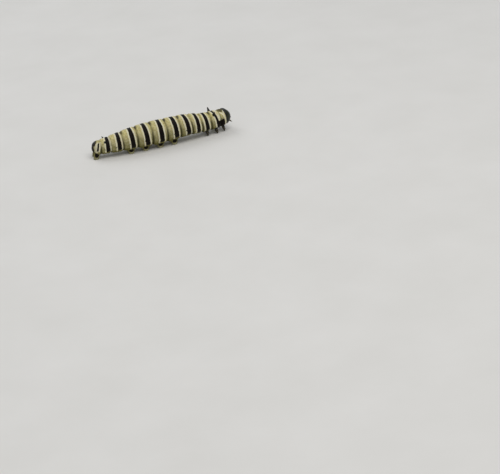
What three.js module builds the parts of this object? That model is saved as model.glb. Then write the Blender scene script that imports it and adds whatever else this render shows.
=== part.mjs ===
import * as THREE from "three";

// A monarch larva in its second instar, standing still on all its legs.
// Millimetres. +X points to the head, +Z up, and the origin lies on the floor under the middle.
// Every piece is one closed loft: rings of points between two cap points.
// "s" is a place along the body from the tail tip, "phi" an angle round it from the top
// of the back, positive towards the animal's left.

// Overall sizes
const BODY_LENGTH = 9.0;
const NODE_GAP = 0.025;
const RING_SIDES = 26;

// Pose: the ends swing to the left of the middle, and the first abdominal segments arch up
const BOW = 0.28;
const MIDDLE_AHEAD = 0.0757;
const MIDDLE_LEFT = -0.0031;
const HUMP_HEIGHT = 0.09;
const HUMP_AT = 5.9;
const HUMP_SPREAD = 0.95;
const BELLY_CLEAR_MIDDLE = 0.13;
const BELLY_CLEAR_NECK = 0.34;
const BELLY_CLEAR_TAIL = 0.19;
const BELLY_CLEAR_POWER = 3.2;

// Skin relief
const BELLY_FLATNESS = 0.1;
const BELLY_STARTS_AT = 105;
const GROOVE_DEPTH = 0.06;
const GROOVE_WIDTH = 0.085;
const ANNULET_DEPTH = 0.016;
const ANNULET_WIDTH = 0.045;
const ANNULETS = [0.34, 0.66];
const SIDE_FOLD_HEIGHT = 0.035;
const SIDE_FOLD_ANGLE = 112;
const SIDE_FOLD_SPREAD = 15;
const TAIL_DOME = 0.38;

// Segments from the tail to the neck, each with its length and its half height
const SEGMENTS = [
  { name: "abdomen_10", length: 0.17, radius: 0.44 },
  { name: "abdomen_9", length: 0.34, radius: 0.465 },
  { name: "abdomen_8", length: 0.565, radius: 0.515 },
  { name: "abdomen_7", length: 0.76, radius: 0.595 },
  { name: "abdomen_6", length: 0.885, radius: 0.685 },
  { name: "abdomen_5", length: 0.915, radius: 0.75 },
  { name: "abdomen_4", length: 0.915, radius: 0.77 },
  { name: "abdomen_3", length: 0.845, radius: 0.75 },
  { name: "abdomen_2", length: 0.75, radius: 0.71 },
  { name: "abdomen_1", length: 0.66, radius: 0.67 },
  { name: "metathorax", length: 0.6, radius: 0.62 },
  { name: "mesothorax", length: 0.64, radius: 0.6 },
  { name: "prothorax", length: 0.35, radius: 0.565 },
];
// A segment's dark band lies a little ahead of its middle
const BAND_PLACE = 0.58;
const SEGMENT_RINGS = [0, 0.07, 0.19, 0.34, 0.5, 0.66, 0.81, 0.93, 1];
const TAIL_RINGS = [0.02, 0.07, 0.16, 0.3, 0.5, 0.72, 0.9, 1];

// Head capsule: two side lobes and a raised frontal shield, cut flat behind and below
const HEAD_LOBE = { out: 0.13, fore: 0.42, left: 0.35, up: 0.48 };
const HEAD_SHIELD = { drop: 0.16, fore: 0.44, left: 0.2, up: 0.34 };
const HEAD_BEHIND_NECK = 0.01;
const HEAD_CENTRE_AHEAD = 0.05;
const HEAD_HEIGHT = 0.82;
const ORAL_DROP = 0.34;
const HEAD_RINGS = 10;
const HEAD_SIDES = 36;

// Limbs
const ROOT_INNER_RING = 0.5;
const PROLEG = { angle: 146, half: 0.23, around: 0.17, out: 0.4 };
const PROLEG_SIDES = 14;
const PROLEG_KNEE = 0.45;
const PROLEG_ANKLE = { half: 0.145, across: 0.115, height: 0.075 };
const PROLEG_SOLE = { half: 0.175, across: 0.135, height: 0.03 };
const PROLEG_FLAT = { half: 0.15, across: 0.11 };
const PROLEG_SEGMENTS = ["abdomen_3", "abdomen_4", "abdomen_5", "abdomen_6"];
const ANAL_PROLEG = { s: 0.25, angle: 138, half: 0.17, around: 0.17, out: 0.27, back: 0.08 };
const LEG_SIDES = 10;
const LEG_ANGLE = 141;
const LEG_ROOT = 0.105;
const LEG_JOINTS = [
  { fore: 0.01, out: 0.4, height: 0.7, radius: 0.098 },
  { fore: 0.02, out: 0.44, height: 0.5, radius: 0.078 },
  { fore: 0.03, out: 0.43, height: 0.28, radius: 0.058 },
  { fore: 0.045, out: 0.4, height: 0.12, radius: 0.04 },
  { fore: 0.055, out: 0.37, height: 0, radius: 0.028 },
];
const THORACIC_LEGS = [
  { name: "foreleg", segment: "prothorax", scale: 0.86 },
  { name: "midleg", segment: "mesothorax", scale: 1 },
  { name: "hindleg", segment: "metathorax", scale: 1 },
];

// Soft horns on the back: the front pair on the mesothorax, the rear pair on segment 8.
// "behind" is how far each stands behind the middle of its dark band.
const TENTACLES = [
  {
    name: "tentacle_front",
    segment: "mesothorax",
    angle: 37,
    behind: 0.15,
    root: 0.072,
    rise: 0.28,
    back: 0.05,
  },
  {
    name: "tentacle_rear",
    segment: "abdomen_8",
    angle: 43,
    behind: 0.03,
    root: 0.06,
    rise: 0.11,
    back: 0.08,
  },
];
const TENTACLE_STEPS = [0.25, 0.5, 0.75, 0.94];
const TENTACLE_TAPER = [0.8, 0.62, 0.46, 0.26];
const TENTACLE_SIDES = 10;

// The plate over the tail end: its rings run from under it, round its edge and over its top
const ANAL_PLATE = { s: 0.14, half: 0.11, around: 0.27, thick: 0.035, sides: 18 };
const ANAL_PLATE_RINGS = [
  { share: 0.5, rise: 0 },
  { share: 1, rise: 0 },
  { share: 0.97, rise: 0.5 },
  { share: 0.8, rise: 0.85 },
  { share: 0.45, rise: 1 },
];

const COLOURS = {
  flesh: { color: 0xb5b184, roughness: 0.55, metalness: 0 },
  capsule: { color: 0x15160f, roughness: 0.28, metalness: 0 },
  horn: { color: 0x1a1712, roughness: 0.4, metalness: 0 },
  foot: { color: 0x8f8f66, roughness: 0.6, metalness: 0 },
};

const radians = THREE.MathUtils.degToRad;
const bell = (value, centre, spread) => Math.exp(-(((value - centre) / spread) ** 2));

function placeSegments() {
  let rear = 0;
  for (const segment of SEGMENTS) {
    segment.rear = rear;
    rear += segment.length;
    segment.front = rear;
    segment.middle = (segment.rear + segment.front) / 2;
    segment.band = segment.rear + BAND_PLACE * segment.length;
  }
  return rear;
}

const NECK = placeSegments();
const segmentNamed = (name) => SEGMENTS.find((segment) => segment.name === name);

// Half height of the body at s, a cubic through the middles of the segments
function girth(s) {
  const last = SEGMENTS.length - 1;
  let i = 0;
  while (i < last - 1 && s > SEGMENTS[i + 1].middle) i += 1;
  const from = SEGMENTS[i];
  const to = SEGMENTS[i + 1];
  const before = SEGMENTS[Math.max(i - 1, 0)];
  const after = SEGMENTS[Math.min(i + 2, last)];
  const span = to.middle - from.middle;
  const t = THREE.MathUtils.clamp((s - from.middle) / span, 0, 1);
  const slopeFrom = ((to.radius - before.radius) / (to.middle - before.middle)) * span;
  const slopeTo = ((after.radius - from.radius) / (after.middle - from.middle)) * span;
  const smooth = t * t * (3 - 2 * t);
  const bend = t * (1 - t) * (1 - t) * slopeFrom - t * t * (1 - t) * slopeTo;
  return from.radius + (to.radius - from.radius) * smooth + bend;
}

function tailDome(s) {
  const ahead = THREE.MathUtils.clamp(1 - s / TAIL_DOME, 0, 1);
  return Math.sqrt(Math.max(1 - ahead * ahead, 0));
}

// Depth of the folds at s: a deep one between segments and two shallow ones on each
function foldDepth(s) {
  let depth = 0;
  for (const segment of SEGMENTS) {
    depth += GROOVE_DEPTH * bell(s, segment.front, GROOVE_WIDTH);
    if (segment.length < TAIL_DOME) continue;
    for (const place of ANNULETS) {
      depth += ANNULET_DEPTH * bell(s, segment.rear + place * segment.length, ANNULET_WIDTH);
    }
  }
  return (depth * girth(s)) / girth(segmentNamed("abdomen_4").middle);
}

// Distance from the body's centre line to its skin
function skinRadius(s, phi) {
  const angle = THREE.MathUtils.radToDeg(Math.acos(Math.cos(phi)));
  const belly = THREE.MathUtils.smoothstep(angle, BELLY_STARTS_AT, 180);
  const segment = SEGMENTS.find((one) => s <= one.front) ?? SEGMENTS[SEGMENTS.length - 1];
  const swell = Math.sin(Math.PI * THREE.MathUtils.clamp((s - segment.rear) / segment.length, 0, 1));
  const sideFold = SIDE_FOLD_HEIGHT * bell(angle, SIDE_FOLD_ANGLE, SIDE_FOLD_SPREAD) * swell;
  return (girth(s) * (1 - BELLY_FLATNESS * belly) + sideFold - foldDepth(s)) * tailDome(s);
}

// The body's own axes at s: a centre, and unit vectors ahead, to the left and up
function bodyFrame(s) {
  const half = BODY_LENGTH / 2;
  const x = s - half;
  const share = Math.abs(x) / half;
  const reach = (x > 0 ? BELLY_CLEAR_NECK : BELLY_CLEAR_TAIL) - BELLY_CLEAR_MIDDLE;
  const clear = BELLY_CLEAR_MIDDLE + reach * share ** BELLY_CLEAR_POWER;
  const z = clear + girth(s) * (1 - BELLY_FLATNESS) + HUMP_HEIGHT * bell(s, HUMP_AT, HUMP_SPREAD);
  const heading = Math.atan((2 * BOW * x) / half ** 2);
  return {
    centre: new THREE.Vector3(x + MIDDLE_AHEAD, BOW * share ** 2 + MIDDLE_LEFT, z),
    fore: new THREE.Vector3(Math.cos(heading), Math.sin(heading), 0),
    left: new THREE.Vector3(-Math.sin(heading), Math.cos(heading), 0),
    up: new THREE.Vector3(0, 0, 1),
  };
}

function at(frame, fore, left, up) {
  return frame.centre
    .clone()
    .addScaledVector(frame.fore, fore)
    .addScaledVector(frame.left, left)
    .addScaledVector(frame.up, up);
}

function skinPoint(s, phi, lift = 0) {
  const r = skinRadius(s, phi) + lift;
  return at(bodyFrame(s), 0, r * Math.sin(phi), r * Math.cos(phi));
}

function ringOf(count, place) {
  return Array.from({ length: count }, (_, i) => place((2 * Math.PI * i) / count, i));
}

// One closed body from rings of equal count and a cap point at each end, faces out
function loft(rings, firstCap, lastCap) {
  const sides = rings[0].length;
  const points = [firstCap, ...rings.flat(), lastCap];
  const faces = [];
  for (let i = 0; i < sides; i += 1) {
    const next = (i + 1) % sides;
    faces.push([0, 1 + next, 1 + i]);
    for (let k = 0; k < rings.length - 1; k += 1) {
      const low = 1 + k * sides;
      const high = low + sides;
      faces.push([low + i, low + next, high + next]);
      faces.push([low + i, high + next, high + i]);
    }
    const end = 1 + (rings.length - 1) * sides;
    faces.push([end + i, end + next, points.length - 1]);
  }
  if (signedVolume(points, faces) < 0) faces.forEach((face) => face.reverse());
  const geometry = new THREE.BufferGeometry();
  geometry.setAttribute(
    "position",
    new THREE.Float32BufferAttribute(points.flatMap((point) => point.toArray()), 3),
  );
  geometry.setIndex(faces.flat());
  geometry.computeVertexNormals();
  return geometry;
}

function signedVolume(points, faces) {
  const cross = new THREE.Vector3();
  let volume = 0;
  for (const [a, b, c] of faces) {
    volume += points[a].dot(cross.crossVectors(points[b], points[c])) / 6;
  }
  return volume;
}

function material(look) {
  return new THREE.MeshStandardMaterial(COLOURS[look]);
}

const larva = new THREE.Group();

function addPiece(name, look, geometry) {
  const mesh = new THREE.Mesh(geometry, material(look));
  mesh.name = name;
  larva.add(mesh);
}

function bodyRing(s) {
  return ringOf(RING_SIDES, (turn) => skinPoint(s, turn));
}

// A body segment, cut flat a thin gap short of its neighbours
function bodySegment(segment, isTail) {
  const rear = isTail ? segment.rear : segment.rear + NODE_GAP / 2;
  const front = segment.front - NODE_GAP / 2;
  const places = (isTail ? TAIL_RINGS : SEGMENT_RINGS).map((share) => rear + share * (front - rear));
  const rearCap = bodyFrame(isTail ? 0 : rear).centre;
  return loft(places.map(bodyRing), rearCap, bodyFrame(front).centre);
}

// Rings that lie on the skin a gap clear of it, round the place where a limb grows
function rootRings(s, phi, half, around, sides) {
  const reach = around / skinRadius(s, phi);
  const side = Math.sign(phi);
  const spread = (share) =>
    ringOf(sides, (turn) =>
      skinPoint(
        s + share * half * Math.cos(turn),
        phi - side * share * reach * Math.sin(turn),
        NODE_GAP,
      ),
    );
  return [spread(ROOT_INNER_RING), spread(1)];
}

// A flat ring at a height over the floor
function level(frame, fore, left, height, half, across, sides, side) {
  return ringOf(sides, (turn) => {
    const point = at(frame, fore + half * Math.cos(turn), left + side * across * Math.sin(turn), 0);
    point.z = height;
    return point;
  });
}

function between(ringA, ringB, share) {
  return ringA.map((point, i) => point.clone().lerp(ringB[i], share));
}

// A fleshy foot: a broad root on the skin, a narrower ankle and a flat sole on the floor
function proleg(side, s, size, back) {
  const phi = side * radians(size.angle);
  const frame = bodyFrame(s);
  const out = side * size.out;
  const ring = (part, height) =>
    level(frame, -back, out, height, part.half, part.across, PROLEG_SIDES, side);
  const [inner, outer] = rootRings(s, phi, size.half, size.around, PROLEG_SIDES);
  const ankle = ring(PROLEG_ANKLE, PROLEG_ANKLE.height);
  const sole = ring(PROLEG_SOLE, PROLEG_SOLE.height);
  const flat = ring(PROLEG_FLAT, 0);
  const floorPoint = at(frame, -back, out, 0);
  floorPoint.z = 0;
  const rings = [inner, outer, between(outer, ankle, PROLEG_KNEE), ankle, sole, flat];
  return loft(rings, skinPoint(s, phi, NODE_GAP), floorPoint);
}

// A ring across the way from one point to the next, lined up with the ring it grows from
function ringAcross(rootRing, root, centre, way, radius) {
  const sides = rootRing.length;
  const along = way.clone().normalize();
  const first = rootRing[0].clone().sub(root);
  const second = rootRing[Math.floor(sides / 4)].clone().sub(root);
  first.addScaledVector(along, -first.dot(along)).normalize();
  second.addScaledVector(along, -second.dot(along));
  second.addScaledVector(first, -second.dot(first)).normalize();
  return ringOf(sides, (turn) =>
    centre
      .clone()
      .addScaledVector(first, radius * Math.cos(turn))
      .addScaledVector(second, radius * Math.sin(turn)),
  );
}

// A jointed leg from the skin down to a small flat claw
function thoracicLeg(side, segment, scale) {
  const s = segment.middle;
  const phi = side * radians(LEG_ANGLE);
  const frame = bodyFrame(s);
  const root = skinPoint(s, phi, NODE_GAP);
  const joints = LEG_JOINTS.map((joint) => {
    const point = at(frame, joint.fore, side * joint.out * scale, 0);
    point.z = joint.height * root.z;
    return point;
  });
  const rings = rootRings(s, phi, LEG_ROOT * scale, LEG_ROOT * scale, LEG_SIDES);
  joints.forEach((point, i) => {
    const radius = LEG_JOINTS[i].radius * scale;
    if (i === joints.length - 1) {
      const { fore } = LEG_JOINTS[i];
      const left = side * LEG_JOINTS[i].out * scale;
      rings.push(level(frame, fore, left, 0, radius, radius, LEG_SIDES, side));
      return;
    }
    const way = joints[i + 1].clone().sub(i === 0 ? root : joints[i - 1]);
    rings.push(ringAcross(rings[1], root, point, way, radius));
  });
  return loft(rings, root, joints[joints.length - 1]);
}

// A soft horn that rises from the skin, bends back and narrows to a round tip
function tentacle(side, size) {
  const place = segmentNamed(size.segment).band - size.behind;
  const phi = side * radians(size.angle);
  const frame = bodyFrame(place);
  const root = skinPoint(place, phi, NODE_GAP);
  const outward = root.clone().sub(frame.centre).normalize();
  const pointAt = (share) =>
    root
      .clone()
      .addScaledVector(outward, size.rise * share)
      .addScaledVector(frame.fore, -size.back * share ** 2);
  const rings = rootRings(place, phi, size.root, size.root, TENTACLE_SIDES);
  TENTACLE_STEPS.forEach((share, i) => {
    const way = outward.clone().multiplyScalar(size.rise);
    way.addScaledVector(frame.fore, -2 * size.back * share);
    const radius = size.root * TENTACLE_TAPER[i];
    rings.push(ringAcross(rings[1], root, pointAt(share), way, radius));
  });
  return loft(rings, root, pointAt(1));
}

// The hard plate over the tail end, which follows the skin a gap above it
function analPlate() {
  const { s, half, around, thick, sides } = ANAL_PLATE;
  const reach = around / skinRadius(s, 0);
  const rings = ANAL_PLATE_RINGS.map(({ share, rise }) =>
    ringOf(sides, (turn) =>
      skinPoint(
        s + share * half * Math.cos(turn),
        share * reach * Math.sin(turn),
        NODE_GAP + rise * thick,
      ),
    ),
  );
  return loft(rings, skinPoint(s, 0, NODE_GAP), skinPoint(s, 0, NODE_GAP + thick));
}

const headFrame = bodyFrame(NECK);
headFrame.centre.z = HEAD_HEIGHT;

// Distance along a unit direction from a point inside an ellipsoid to its surface
function reachOf(start, direction, centre, half) {
  const p = start.clone().sub(centre).divide(half);
  const d = direction.clone().divide(half);
  const a = d.dot(d);
  const b = p.dot(d);
  return (-b + Math.sqrt(Math.max(b * b - a * (p.dot(p) - 1), 0))) / a;
}

// Head space: x ahead of the neck cut, y left, z above the head's middle
const HEAD_START = new THREE.Vector3(HEAD_CENTRE_AHEAD, 0, 0);

function headReach(direction) {
  const behind = -HEAD_BEHIND_NECK;
  const lobeHalf = new THREE.Vector3(HEAD_LOBE.fore, HEAD_LOBE.left, HEAD_LOBE.up);
  const shieldHalf = new THREE.Vector3(HEAD_SHIELD.fore, HEAD_SHIELD.left, HEAD_SHIELD.up);
  const shieldCentre = new THREE.Vector3(behind, 0, -HEAD_SHIELD.drop);
  let reach = reachOf(HEAD_START, direction, shieldCentre, shieldHalf);
  for (const side of [-1, 1]) {
    const lobeCentre = new THREE.Vector3(behind, side * HEAD_LOBE.out, 0);
    reach = Math.max(reach, reachOf(HEAD_START, direction, lobeCentre, lobeHalf));
  }
  if (direction.z < 0) reach = Math.min(reach, ORAL_DROP / -direction.z);
  return reach;
}

function headPoint(direction, lift = 0) {
  const unit = direction.clone().normalize();
  const local = HEAD_START.clone().addScaledVector(unit, headReach(unit) + lift);
  return at(headFrame, local.x, local.y, local.z);
}

function headCapsule() {
  const rings = [];
  for (let k = 1; k <= HEAD_RINGS; k += 1) {
    const polar = (Math.PI / 2) * (k / HEAD_RINGS);
    rings.push(
      ringOf(HEAD_SIDES, (turn) =>
        headPoint(
          new THREE.Vector3(
            Math.cos(polar),
            Math.sin(polar) * Math.sin(turn),
            Math.sin(polar) * Math.cos(turn),
          ),
        ),
      ),
    );
  }
  const cut = HEAD_CENTRE_AHEAD - NODE_GAP / 2;
  const behind = rings[HEAD_RINGS - 1].map((p) => p.clone().addScaledVector(headFrame.fore, -cut));
  rings.push(behind);
  return loft(rings, headPoint(new THREE.Vector3(1, 0, 0)), at(headFrame, NODE_GAP / 2, 0, 0));
}

// Six simple eyes on a curved ridge, low on each side of the head. Between two eyes the ridge
// narrows to its waist and sinks to its dip.
const EYES = { count: 6, ringsEach: 3, arc: 0.092, half: 0.032, high: 0.03 };
const EYE_TURNS = { start: -50, end: 185, past: 0.01 };
const EYE_RIDGE = { waist: 0.55, dip: 0.35, rim: 0.2, sides: 8 };
const EYES_AT = { fore: 0.62, out: 0.76, up: -0.16 };

function eyeRidge(side) {
  const middle = new THREE.Vector3(EYES_AT.fore, side * EYES_AT.out, EYES_AT.up).normalize();
  const back = new THREE.Vector3(-EYES_AT.out, side * EYES_AT.fore, 0).normalize();
  const up = new THREE.Vector3(0, 0, 1);
  up.addScaledVector(middle, -up.dot(middle)).normalize();
  const size = headReach(middle);
  const steps = EYES.count * EYES.ringsEach;
  const place = (share, off, lift) => {
    const turn = radians(EYE_TURNS.start + share * (EYE_TURNS.end - EYE_TURNS.start));
    const reach = (EYES.arc + off) / size;
    return headPoint(
      middle
        .clone()
        .addScaledVector(back, reach * Math.cos(turn))
        .addScaledVector(up, reach * Math.sin(turn)),
      lift,
    );
  };
  const rings = [];
  for (let k = 0; k <= steps; k += 1) {
    const share = k / steps;
    const bead = Math.abs(Math.sin(Math.PI * share * EYES.count));
    const half = EYES.half * THREE.MathUtils.lerp(EYE_RIDGE.waist, 1, bead);
    const high = EYES.high * THREE.MathUtils.lerp(EYE_RIDGE.dip, 1, bead);
    rings.push(
      ringOf(EYE_RIDGE.sides, (turn) => {
        const crown = Math.max(Math.sin(turn), 0);
        const isUnder = turn > Math.PI + EYE_TURNS.past;
        const rise = isUnder ? 0 : high * THREE.MathUtils.lerp(EYE_RIDGE.rim, 1, crown);
        return place(share, half * Math.cos(turn), NODE_GAP + rise);
      }),
    );
  }
  const endLift = NODE_GAP + (EYES.high * EYE_RIDGE.rim) / 2;
  return loft(
    rings,
    place(-EYE_TURNS.past, 0, endLift),
    place(1 + EYE_TURNS.past, 0, endLift),
  );
}

// A jointed antenna beside the mouth, each joint thinner than the one before
const ANTENNA = { aim: [0.6, 0.42, -0.56], joints: [0.044, 0.034, 0.024, 0.012], step: 0.042 };
const ANTENNA_SHOULDER = 0.2;
const ANTENNA_TIP = 0.1;

function antenna(side) {
  const [x, y, z] = ANTENNA.aim;
  const aim = new THREE.Vector3(x, side * y, z).normalize();
  const across = new THREE.Vector3(0, 0, 1).cross(aim).normalize();
  const upright = aim.clone().cross(across);
  const size = headReach(aim);
  const ring = (radius, lift) =>
    ringOf(LEG_SIDES, (turn) =>
      headPoint(
        aim
          .clone()
          .addScaledVector(across, (radius / (size + lift)) * Math.cos(turn))
          .addScaledVector(upright, (radius / (size + lift)) * Math.sin(turn)),
        lift,
      ),
    );
  const rings = [ring(ANTENNA.joints[0], NODE_GAP)];
  ANTENNA.joints.forEach((radius, i) => {
    const lift = NODE_GAP + ANTENNA.step * (i + 1);
    rings.push(ring(radius, lift - ANTENNA.step * ANTENNA_SHOULDER));
    const next = ANTENNA.joints[i + 1];
    if (next) rings.push(ring(next, lift));
  });
  const tip = NODE_GAP + ANTENNA.step * (ANTENNA.joints.length + ANTENNA_TIP);
  return loft(rings, headPoint(aim, NODE_GAP), headPoint(aim, tip));
}

// Mouthparts hang from the flat underside of the head, a gap below it
const ORAL = -ORAL_DROP - NODE_GAP;
const MOUTH_SIDES = 12;
const MANDIBLE = [
  { fore: 0.17, out: 0.094, drop: 0, half: 0.064, across: 0.08 },
  { fore: 0.175, out: 0.094, drop: 0.05, half: 0.062, across: 0.078 },
  { fore: 0.195, out: 0.08, drop: 0.1, half: 0.048, across: 0.062 },
  { fore: 0.21, out: 0.055, drop: 0.135, half: 0.028, across: 0.036 },
];
const MAXILLA = [
  { fore: 0.07, out: 0.118, drop: 0, half: 0.032, across: 0.054 },
  { fore: 0.07, out: 0.114, drop: 0.055, half: 0.032, across: 0.05 },
  { fore: 0.08, out: 0.106, drop: 0.1, half: 0.022, across: 0.032 },
  { fore: 0.09, out: 0.1, drop: 0.14, half: 0.011, across: 0.013 },
];
const LABIUM = [
  { fore: 0.065, out: 0, drop: 0, half: 0.03, across: 0.044 },
  { fore: 0.065, out: 0, drop: 0.06, half: 0.028, across: 0.038 },
  { fore: 0.07, out: 0, drop: 0.11, half: 0.017, across: 0.02 },
  { fore: 0.075, out: 0, drop: 0.15, half: 0.01, across: 0.01 },
];
const LABRUM = { fore: 0.275, half: 0.024, across: 0.13, depth: 0.1, sides: 20 };
const LABRUM_NOTCH = { rise: 0.04, half: 0.03 };

function mouthpart(side, sections) {
  const rings = sections.map((one) =>
    ringOf(MOUTH_SIDES, (turn) =>
      at(
        headFrame,
        one.fore + one.half * Math.cos(turn),
        side * one.out + one.across * Math.sin(turn),
        ORAL - one.drop,
      ),
    ),
  );
  const cap = (one) => at(headFrame, one.fore, side * one.out, ORAL - one.drop);
  return loft(rings, cap(sections[0]), cap(sections[sections.length - 1]));
}

function labrum() {
  const { fore, half, across, depth, sides } = LABRUM;
  const ring = (share) =>
    ringOf(sides, (turn) => {
      const left = across * Math.sign(Math.sin(turn)) * Math.sqrt(Math.abs(Math.sin(turn)));
      const rise = share * LABRUM_NOTCH.rise * bell(left, 0, LABRUM_NOTCH.half);
      return at(headFrame, fore + half * Math.cos(turn), left, ORAL - share * depth + rise);
    });
  const top = at(headFrame, fore, 0, ORAL);
  const bottom = at(headFrame, fore, 0, ORAL - depth + LABRUM_NOTCH.rise);
  return loft([ring(0), ring(0.5), ring(1)], top, bottom);
}

SEGMENTS.forEach((segment, i) => addPiece(segment.name, "flesh", bodySegment(segment, i === 0)));
addPiece("anal_plate", "horn", analPlate());
addPiece("head", "capsule", headCapsule());
addPiece("labrum", "horn", labrum());
addPiece("labium", "horn", mouthpart(0, LABIUM));
for (const [side, word] of [[1, "left"], [-1, "right"]]) {
  addPiece(`eyes_${word}`, "capsule", eyeRidge(side));
  addPiece(`antenna_${word}`, "horn", antenna(side));
  addPiece(`mandible_${word}`, "horn", mouthpart(side, MANDIBLE));
  addPiece(`maxilla_${word}`, "horn", mouthpart(side, MAXILLA));
  for (const leg of THORACIC_LEGS) {
    const segment = segmentNamed(leg.segment);
    addPiece(`${leg.name}_${word}`, "horn", thoracicLeg(side, segment, leg.scale));
  }
  for (const name of PROLEG_SEGMENTS) {
    const geometry = proleg(side, segmentNamed(name).middle, PROLEG, 0);
    addPiece(`proleg_${name.split("_")[1]}_${word}`, "foot", geometry);
  }
  addPiece(`anal_proleg_${word}`, "foot", proleg(side, ANAL_PROLEG.s, ANAL_PROLEG, ANAL_PROLEG.back));
  for (const size of TENTACLES) addPiece(`${size.name}_${word}`, "horn", tentacle(side, size));
}

export default larva;
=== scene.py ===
import math

import bpy
import numpy as np
from mathutils import Matrix, Vector


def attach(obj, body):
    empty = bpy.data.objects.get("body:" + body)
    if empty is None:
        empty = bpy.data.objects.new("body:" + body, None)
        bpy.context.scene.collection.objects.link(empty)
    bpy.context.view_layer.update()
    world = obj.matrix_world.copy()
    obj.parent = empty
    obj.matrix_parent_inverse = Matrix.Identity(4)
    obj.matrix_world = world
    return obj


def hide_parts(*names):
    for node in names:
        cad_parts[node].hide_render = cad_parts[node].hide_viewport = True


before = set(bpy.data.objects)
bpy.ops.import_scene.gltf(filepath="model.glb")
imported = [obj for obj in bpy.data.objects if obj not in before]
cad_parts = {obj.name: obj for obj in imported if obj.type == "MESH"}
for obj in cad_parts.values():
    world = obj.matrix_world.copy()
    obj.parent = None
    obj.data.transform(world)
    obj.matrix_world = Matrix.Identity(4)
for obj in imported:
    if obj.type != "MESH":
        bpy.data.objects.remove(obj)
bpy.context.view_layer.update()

# The looks of a monarch larva in its second instar.
# Shapes are worked out in millimetres in the frame's own axes: +X to the head, +Y to the
# animal's left, +Z up. "s" is a place along the body from the tail tip, "phi" an angle round
# it from the top of the back, positive towards the left.

METRES = 0.001
GAP = 0.025
UP = np.array([0.0, 0.0, 1.0])

# Body, as the frame has it
BODY_LENGTH = 9.0
BOW = 0.28
MIDDLE_AHEAD = 0.0757
MIDDLE_LEFT = -0.0031
HUMP = {"height": 0.09, "at": 5.9, "spread": 0.95}
BELLY_CLEAR = {"middle": 0.13, "neck": 0.34, "tail": 0.19, "power": 3.2}
BELLY_FLATNESS = 0.1
BELLY_STARTS_AT = 105
TAIL_DOME = 0.38
SEGMENTS = [
    ("abdomen_10", 0.17, 0.44),
    ("abdomen_9", 0.34, 0.465),
    ("abdomen_8", 0.565, 0.515),
    ("abdomen_7", 0.76, 0.595),
    ("abdomen_6", 0.885, 0.685),
    ("abdomen_5", 0.915, 0.75),
    ("abdomen_4", 0.915, 0.77),
    ("abdomen_3", 0.845, 0.75),
    ("abdomen_2", 0.75, 0.71),
    ("abdomen_1", 0.66, 0.67),
    ("metathorax", 0.6, 0.62),
    ("mesothorax", 0.64, 0.6),
    ("prothorax", 0.35, 0.565),
]
NAMES = [name for name, _, _ in SEGMENTS]
LENGTHS = np.array([length for _, length, _ in SEGMENTS])
RADII = np.array([radius for _, _, radius in SEGMENTS])
FRONTS = np.cumsum(LENGTHS)
REARS = FRONTS - LENGTHS
MIDDLES = (FRONTS + REARS) / 2
BANDS = REARS + 0.58 * LENGTHS
NECK = FRONTS[-1]

# Relief of the skin
VALLEY = {"depth": 0.052, "width": 0.085}
CREASE = {"depth": 0.03, "width": 0.018, "mean": 0.8, "vary": 0.35}
ANNULET = {"depth": 0.012, "width": 0.016, "fade": 0.75, "fade_angles": (95, 125)}
ANNULETS = [0.16, 0.34, 0.5, 0.66, 0.84]
SWELL_RING = {"depth": 0.012, "width": 0.045}
SWELL_RINGS = [0.34, 0.66]
SIDE_FOLD = {"height": 0.035, "angle": 112, "spread": 15}
SIDE_CREASE = {"width": 2.6, "waver": 4, "mean": 0.8, "vary": 0.5}
SIDE_CREASES = [(98, 0.016), (127, 0.024), (160, 0.014)]
LINE_WAVER = 0.022
WRINKLES = {"fine": 0.0036, "across": 0.0042}
SKIN_INSET = 0.012
BUMP = {"height": 0.008, "radius": 0.02}
BUMP_RINGS = [(0.3, (14, 46, 84)), (0.72, (28, 66, 102, 122))]

# Feet and legs. Of a foot: the angle and half size of its root, how far out and back its sole
# stands, and the size of its dark patch. Of a leg's joint: ahead, out, height as a share of
# the root's, and radius.
PROLEG = {"angle": 146, "half": 0.23, "around": 0.17, "out": 0.4, "back": 0.0, "patch": 0.075}
ANAL_PROLEG = {"angle": 138, "half": 0.17, "around": 0.17, "out": 0.27, "back": 0.08, "patch": 0.1}
ANAL_PROLEG_AT = 0.25
ANKLE = {"half": 0.145, "across": 0.115, "height": 0.075}
SOLE = {"half": 0.175, "across": 0.135, "height": 0.03}
FLAT = {"half": 0.15, "across": 0.11, "height": 0.0}
LEG_ANGLE = 141
LEG_JOINTS = [
    (0.01, 0.4, 0.7, 0.098),
    (0.02, 0.44, 0.5, 0.078),
    (0.03, 0.43, 0.28, 0.058),
    (0.045, 0.4, 0.12, 0.04),
    (0.055, 0.37, 0.0, 0.028),
]
LEGS = {"foreleg": ("prothorax", 0.86), "midleg": ("mesothorax", 1.0), "hindleg": ("metathorax", 1.0)}

# Head
LOBE = {"out": 0.13, "half": (0.45, 0.35, 0.48)}
SHIELD = {"drop": 0.16, "half": (0.465, 0.2, 0.34)}
HEAD_BEHIND_NECK = 0.01
HEAD_START = np.array([0.05, 0.0, 0.0])
HEAD_HEIGHT = 0.82
ORAL_DROP = 0.34


def srgb(red, green, blue):
    """A colour given as 0 to 255 on screen, as the linear colour a shader takes."""
    values = np.array([red, green, blue]) / 255
    linear = np.where(values <= 0.04045, values / 12.92, ((values + 0.055) / 1.055) ** 2.4)
    return (*[float(v) for v in linear], 1.0)


def bell(value, centre, spread):
    return np.exp(-(((value - centre) / spread) ** 2))


def crease(value, centre, width):
    """A sharp valley: 1 at the centre line, falling off within a few widths."""
    blunt = 0.25 * width
    return np.exp(-(np.sqrt((value - centre) ** 2 + blunt**2) - blunt) / width)


def smoothstep(value, low, high):
    t = np.clip((value - low) / (high - low), 0, 1)
    return t * t * (3 - 2 * t)


def fall(value, low, high):
    """1 below low, 0 above high."""
    return 1 - smoothstep(value, low, high)


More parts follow.
